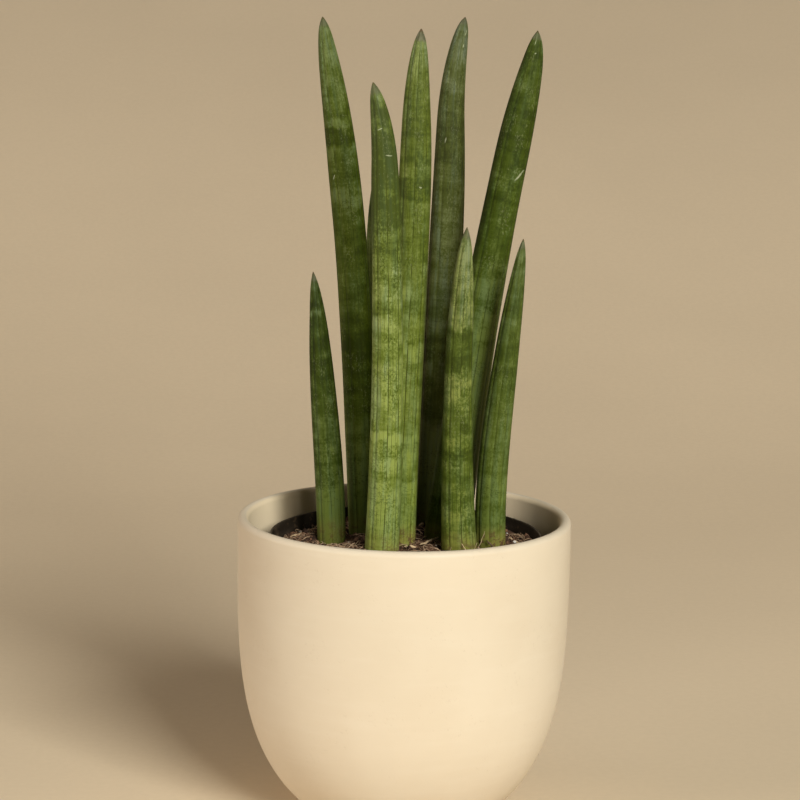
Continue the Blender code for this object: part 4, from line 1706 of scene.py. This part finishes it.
@dataclass(frozen=True)
class Litter:
    """What lies on the soil: crumbs, clods, bark, root fibres, splinters and white grains."""

    bed: SoilBed
    leaves: tuple[Leaf, ...]
    seed: int = 41
    reach: float = 58.4
    coarse_layers: int = 3
    crumbs: int = 2300
    crumb_size: Span = (0.4, 1.05)
    clods: int = 110
    clod_size: Span = (1.1, 2.1)
    flakes: int = 230
    flake_length: Span = (0.9, 2.6)
    flake_width: Span = (0.35, 0.7)
    flake_thickness: Span = (0.35, 0.8)
    flake_tilt: float = 0.35
    fibres: int = 520
    fibre_steps: int = 7
    fibre_stride: Span = (0.7, 1.9)
    fibre_arch: Span = (0.2, 2.2)
    fibre_radius: Span = (0.08, 0.2)
    white_grains: int = 46
    white_size: Span = (0.35, 0.95)
    stick_steps: int = 9
    stick_sides: int = 7
    stick_wander: float = 0.12
    crumb: Earth = Earth("crumb", (0.022, 0.011, 0.006), (0.16, 0.080, 0.042), (0.30, 0.19, 0.11),
                         0.92, 1500.0)
    bark: Earth = Earth("bark", (0.030, 0.015, 0.008), (0.19, 0.098, 0.052), (0.30, 0.19, 0.11),
                        0.85, 1300.0)
    root: Earth = Earth("root", (0.11, 0.055, 0.028), (0.50, 0.34, 0.20), (0.55, 0.42, 0.28), 0.8, 900.0)
    wood: Earth = Earth("wood", (0.045, 0.022, 0.012), (0.58, 0.42, 0.24), (0.30, 0.19, 0.10), 0.8, 500.0)
    mineral: Earth = Earth("mineral", (0.42, 0.36, 0.28), (0.80, 0.76, 0.68), (0.60, 0.52, 0.42),
                           0.95, 1500.0)
    sticks: tuple[Stick, ...] = (
        Stick((7.2, -13.6), (16.0, 3.5), 1.9, 0.5, 0.55), Stick((7.0, 24.0), (8.9, 32.0), 2.6, 0.6, 0.75),
        Stick((0.2, -13.9), (6.4, -13.3), 0.9, 0.6, 0.95),
        Stick((25.6, 1.8), (28.4, -12.4), 1.0, 0.55, 0.6), Stick((33.2, -6.2), (36.5, 18.9), 1.2, 0.6, 0.7),
        Stick((36.9, 6.9), (40.1, -7.6), 1.6, 1.0, 0.15),
        Stick((-42.0, -12.0), (-31.5, -9.0), 0.8, 0.5, 0.5),
        Stick((-29.5, 3.0), (-19.5, -12.0), 0.8, 0.5, 0.6),
        Stick((47.0, 6.0), (56.0, -2.0), 0.9, 0.6, 0.55),
        Stick((-52.0, 14.0), (-43.0, 22.0), 0.9, 0.6, 0.5),
        Stick((-12.0, 50.0), (2.0, 54.0), 0.8, 0.6, 0.6), Stick((28.0, 26.0), (38.0, 37.0), 1.0, 0.6, 0.7),
        Stick((-30.0, -38.0), (-18.0, -33.0), 0.9, 0.6, 0.6),
        Stick((10.0, -44.0), (21.0, -48.0), 0.9, 0.7, 0.4),
        Stick((36.6, -11.0), (41.2, -13.0), 0.5, 0.38, 0.0, 4.4),
        Stick((25.6, -23.7), (29.4, -26.5), 0.5, 0.17, 0.75, 6.0),
        Stick((35.9, -11.4), (32.6, -13.4), 0.5, 0.12, 0.6, 8.4),
        Stick((32.4, -18.6), (30.2, -22.5), 0.4, 0.12, 0.5, 4.2),
        Stick((20.9, -22.6), (19.4, -26.0), 0.4, 0.12, 0.4, 3.4))

    def clear_of_leaves(self, x: float, y: float, gap: float) -> bool:
        """Whether a place is outside every leaf's foot by a gap.

        Args:
            x: Place in millimetres.
            y: Place in millimetres.
            gap: The gap.

        Returns:
            True where it is clear.
        """
        for leaf in self.leaves:
            away = math.hypot(x - leaf.form.foot[0], y - leaf.form.foot[1])
            if away < leaf.form.foot_girth + gap:
                return False
        return True

    def spot(self, heap: Heap, gap: float) -> tuple[float, float]:
        """Draw a free place on the soil.

        Args:
            heap: Whose random draws are used.
            gap: Room kept from the leaves.

        Returns:
            The place in millimetres, from the cover pot's centre.
        """
        while True:
            radius = (self.reach - gap) * math.sqrt(heap.draw.random())
            angle = heap.draw.uniform(0.0, 2.0 * math.pi)
            x = self.bed.centre_x + radius * math.cos(angle)
            y = radius * math.sin(angle)
            if self.clear_of_leaves(x, y, gap):
                return x, y

    def ground(self, x: float, y: float, lift: float) -> Vector:
        """Point above the soil.

        Args:
            x: Place in millimetres.
            y: Place in millimetres.
            lift: Height above the soil in millimetres.

        Returns:
            The point in metres.
        """
        return Vector((x, y, self.bed.height(x - self.bed.centre_x, y, self.coarse_layers) + lift)) * MM

    def lay_crumbs(self, material: bpy.types.Material) -> None:
        """Scatter fine crumbs and a few clods.

        Args:
            material: Their material.
        """
        heap = Heap(self.seed)
        for i in range(self.crumbs + self.clods):
            big = i >= self.crumbs
            size = heap.draw.uniform(*(self.clod_size if big else self.crumb_size))
            x, y = self.spot(heap, size * 0.55)
            half = Vector([size * heap.draw.uniform(0.6, 1.1) for _ in range(3)]) * MM
            place = self.ground(x, y, size * heap.draw.uniform(-0.1, 0.3))
            heap.grain(place, half, heap.draw.random() ** 1.6, big)
        heap.finish("soil_crumbs", material)

    def lay_flakes(self, material: bpy.types.Material) -> None:
        """Scatter flat bits of bark and husk.

        Args:
            material: Their material.
        """
        heap = Heap(self.seed + 1)
        for _ in range(self.flakes):
            long = heap.draw.uniform(*self.flake_length)
            x, y = self.spot(heap, long * 0.4)
            size = Vector((long, long * heap.draw.uniform(*self.flake_width),
                           heap.draw.uniform(*self.flake_thickness))) * MM
            tilt = Matrix.Rotation(heap.draw.uniform(0.0, math.pi), 4, "Z")
            for axis in "YX":
                tilt = tilt @ Matrix.Rotation(heap.draw.gauss(0.0, self.flake_tilt), 4, axis)
            heap.flake(self.ground(x, y, heap.draw.uniform(0.1, 0.6)), size, tilt, heap.draw.random())
        heap.finish("bark_flakes", material)

    def lay_fibres(self, material: bpy.types.Material) -> None:
        """Lay curled root fibres on the crumbs.

        Args:
            material: Their material.
        """
        heap = Heap(self.seed + 2)
        steps = self.fibre_steps
        for _ in range(self.fibres):
            x, y = self.spot(heap, 1.0)
            way = heap.draw.uniform(0.0, 2.0 * math.pi)
            bend = heap.draw.gauss(0.0, 0.28)
            stride = heap.draw.uniform(*self.fibre_stride)
            arch = heap.draw.uniform(*self.fibre_arch)
            points = []
            for i in range(steps):
                lift = 0.25 + arch * math.sin(math.pi * i / (steps - 1))
                points.append(self.ground(x, y, lift))
                way += bend + heap.draw.gauss(0.0, 0.16)
                x += stride * math.cos(way)
                y += stride * math.sin(way)
                if math.hypot(x - self.bed.centre_x, y) > self.reach or not self.clear_of_leaves(x, y, 0.4):
                    break
            if len(points) > 2:
                thick = heap.draw.uniform(*self.fibre_radius) * MM
                radii = [thick * (1.0 - 0.6 * i / steps) for i in range(len(points))]
                heap.strand(points, radii, heap.draw.random())
        heap.finish("root_fibres", material)

    def lay_sticks(self, material: bpy.types.Material) -> None:
        """Lay the splinters and twigs.

        Args:
            material: Their material.
        """
        heap = Heap(self.seed + 3)
        steps = self.stick_steps
        for stick in self.sticks:
            points = []
            radii = []
            start = self.ground(*stick.start, stick.lift + stick.rise)
            end = self.ground(*stick.end, stick.lift * 0.6)
            for i in range(steps):
                share = i / (steps - 1)
                wander = Vector([heap.draw.gauss(0.0, self.stick_wander) for _ in range(3)]) * MM
                points.append(start.lerp(end, share) + wander)
                thin = 0.45 if i in (0, steps - 1) else heap.draw.uniform(0.75, 1.15)
                radii.append(stick.radius * thin * MM)
            heap.strand(points, radii, stick.tone, self.stick_sides)
        heap.finish("wood_splinters", material)

    def lay_white_grains(self, material: bpy.types.Material) -> None:
        """Scatter white mineral grains.

        Args:
            material: Their material.
        """
        heap = Heap(self.seed + 4)
        for _ in range(self.white_grains):
            size = heap.draw.uniform(*self.white_size)
            x, y = self.spot(heap, size)
            half = Vector([size * heap.draw.uniform(0.7, 1.1) for _ in range(3)]) * MM
            heap.grain(self.ground(x, y, size * 0.45), half, heap.draw.random(), True)
        heap.finish("white_grains", material)

    def build(self, effects: Effects) -> None:
        """Make every kind of litter.

        Args:
            effects: The shared node groups.
        """
        self.lay_crumbs(self.crumb.material(effects))
        self.lay_flakes(self.bark.material(effects))
        self.lay_fibres(self.root.material(effects))
        self.lay_sticks(self.wood.material(effects))
        self.lay_white_grains(self.mineral.material(effects))


# ---------------------------------------------------------------- studio


class LampRole(Enum):
    """What a lamp is for."""

    KEY = "key"
    SIDE = "side"
    FRONT = "front"


@dataclass(frozen=True)
class Lamp:
    """A soft box aimed at the plant, at a turn right of the camera, a rise and a distance in metres."""

    role: LampRole
    turn: float
    rise: float
    distance: float
    width: float
    height: float
    power: float
    colour: Colour = (1.0, 1.0, 1.0)

    def build(self, target: Vector) -> None:
        """Make the lamp.

        Args:
            target: The point that it faces.
        """
        data = bpy.data.lights.new(self.role.value, "AREA")
        data.shape = "RECTANGLE"
        data.size = self.width
        data.size_y = self.height
        data.energy = self.power
        data.color = self.colour
        lamp = bpy.data.objects.new(self.role.value + "_lamp", data)
        turn = math.radians(self.turn)
        rise = math.radians(self.rise)
        away = Vector((math.sin(turn) * math.cos(rise), -math.cos(turn) * math.cos(rise), math.sin(rise)))
        lamp.location = target + away * self.distance
        lamp.rotation_euler = away.to_track_quat("Z", "Y").to_euler()
        lamp.visible_camera = False
        bpy.context.scene.collection.objects.link(lamp)


@dataclass(frozen=True)
class Studio:
    """Pale swept floor, soft lamps, even surroundings and the camera.

    The backdrop has painted shade: it is a little darker in front of the near line and above the high one.
    """

    floor_colour: Colour = (0.765, 0.622, 0.425)
    mottle_scale: float = 3.0
    mottle_share: float = 0.955
    grain_scale: float = 260.0
    grain_share: float = 0.08
    grain_colour: Colour = (0.52, 0.41, 0.27)
    rough: Span = (0.85, 0.95)
    # Painted shade: the backdrop darkens to these shares in front of the near line and above the high one.
    near_line: Span = (0.4, 1.0)
    near_painted_shade: float = 0.93
    high_line: Span = (0.05, 0.35)
    high_painted_shade: float = 0.84
    specular: float = 0.2
    half_width: float = 12.0
    front: float = -12.0
    back: float = 0.6
    sweep: float = 2.2
    sweep_steps: int = 24
    wall: float = 3.0
    surround: Colour = (1.0, 0.97, 0.93)
    surround_strength: float = 0.02
    target: Point = (0.0, 0.0, 0.15)
    lamps: tuple[Lamp, ...] = (
        Lamp(LampRole.KEY, 28.5, 27.0, 3.2, 1.3, 1.3, 132.0, (1.0, 1.0, 0.972)),
        Lamp(LampRole.SIDE, -75.0, 15.0, 4.82, 4.0, 2.8, 129.0, (1.0, 0.92, 0.88)),
        Lamp(LampRole.FRONT, 0.0, 15.0, 4.82, 4.0, 2.8, 19.6, (1.0, 0.985, 0.94)),
    )
    eye: Point = (0.0, -1.17217, 0.39294)
    pan: float = 0.13770
    tilt: float = 80.10346
    roll: float = 0.89468
    lens: float = 119.873
    sensor: float = 36.0
    clip: Span = (0.02, 50.0)

    def build_floor(self) -> None:
        """Make the floor with its sweep up to the wall."""
        bm = bmesh.new()
        near = bm.verts.new((-self.half_width, self.front, 0.0))
        far = bm.verts.new((-self.half_width, self.back, 0.0))
        bm.edges.new((near, far))
        bmesh.ops.spin(bm, geom=[far], axis=(1.0, 0.0, 0.0), cent=(0.0, self.back, self.sweep),
                       angle=math.pi / 2.0, steps=self.sweep_steps)
        top = max(bm.verts, key=lambda vertex: (vertex.co.z, vertex.co.y))
        raised = bmesh.ops.extrude_vert_indiv(bm, verts=[top])["verts"]
        bmesh.ops.translate(bm, verts=raised, vec=(0.0, 0.0, self.wall))
        grown = bmesh.ops.extrude_edge_only(bm, edges=list(bm.edges))["geom"]
        moved = [part for part in grown if isinstance(part, bmesh.types.BMVert)]
        bmesh.ops.translate(bm, verts=moved, vec=(2.0 * self.half_width, 0.0, 0.0))
        bmesh.ops.recalc_face_normals(bm, faces=bm.faces)
        floor = finish_piece("studio_floor", bm, self.floor_material(), ALL_SMOOTH)

    def floor_material(self) -> bpy.types.Material:
        """Make the backdrop's faintly mottled paper finish.

        Returns:
            The material.
        """
        material, sheet, shader = start_material("studio_floor")
        place = sheet.add("ShaderNodeTexCoord").outputs["Object"]
        mottle = sheet.noise(place, self.mottle_scale, detail=3.0)
        grain = sheet.noise(place, self.grain_scale, detail=3.0, rough=0.6)
        darker = tuple(channel * self.mottle_share for channel in self.floor_colour)
        colour = sheet.mix(sheet.ramp(mottle, 0.3, 0.7), self.floor_colour, darker)
        parts = sheet.add("ShaderNodeSeparateXYZ", {0: place}).outputs
        # Painted shade: darker in front of the near line and above the high one.
        near = sheet.ramp(parts["Y"], *self.near_line, self.near_painted_shade, 1.0)
        high = sheet.ramp(parts["Z"], *self.high_line, 1.0, self.high_painted_shade)
        colour = sheet.mix(sheet.times(near, high), (0.0, 0.0, 0.0), colour)
        colour = sheet.mix(sheet.ramp(grain, 0.3, 0.7, to_high=self.grain_share), colour, self.grain_colour)
        sheet.feed(shader.inputs["Base Color"], colour)
        sheet.feed(shader.inputs["Roughness"], sheet.ramp(grain, 0.3, 0.7, *self.rough))
        shader.inputs["Specular IOR Level"].default_value = self.specular
        return material

    def build_light(self) -> None:
        """Make the lamps and the even surroundings."""
        for lamp in self.lamps:
            lamp.build(Vector(self.target))
        scene = bpy.context.scene
        world = bpy.data.worlds.new("surroundings")
        world.use_nodes = True
        glow = world.node_tree.nodes["Background"]
        glow.inputs["Color"].default_value = (*self.surround, 1.0)
        glow.inputs["Strength"].default_value = self.surround_strength
        scene.world = world
        scene.view_settings.view_transform = "Standard"

    def build_camera(self) -> None:
        """Make the camera, a little above the leaves' points and looking slightly down."""
        data = bpy.data.cameras.new("camera")
        data.lens = self.lens
        data.sensor_width = self.sensor
        data.clip_start, data.clip_end = self.clip
        camera = bpy.data.objects.new("camera", data)
        turned = Matrix.Rotation(math.radians(self.pan), 4, "Z")
        turned = turned @ Matrix.Rotation(math.radians(self.tilt), 4, "X")
        turned = turned @ Matrix.Rotation(math.radians(self.roll), 4, "Z")
        camera.matrix_world = Matrix.Translation(self.eye) @ turned
        bpy.context.scene.collection.objects.link(camera)
        bpy.context.scene.camera = camera

    def build(self) -> None:
        """Make the whole studio."""
        self.build_floor()
        self.build_light()
        self.build_camera()
        LOG.info("studio: floor, %d lamp(s), camera", len(self.lamps))


# ---------------------------------------------------------------- the plant


@dataclass(frozen=True)
class SnakePlant:
    """The whole potted plant."""

    cover_pot: CoverPot = field(default_factory=CoverPot)
    nursery_pot: NurseryPot = field(default_factory=NurseryPot)
    soil: SoilBed = field(default_factory=SoilBed)
    leaves: tuple[Leaf, ...] = field(default_factory=lambda: tuple(leaf_set()))

    def build(self, effects: Effects) -> None:
        """Build every piece in order.

        Args:
            effects: The shared node groups.
        """
        self.cover_pot.build(effects)
        self.nursery_pot.build(effects)
        self.soil.build(effects, self.leaves)
        Litter(self.soil, self.leaves).build(effects)
        for leaf in self.leaves:
            leaf.build(effects)


def main() -> None:
    """Load the frame, dress it and set the studio up."""
    logging.basicConfig(level=logging.INFO, format="%(relativeCreated)7.0f ms  %(message)s")
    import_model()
    Studio().build()
    SnakePlant().build(Effects())


if __name__ == "__main__":
    main()
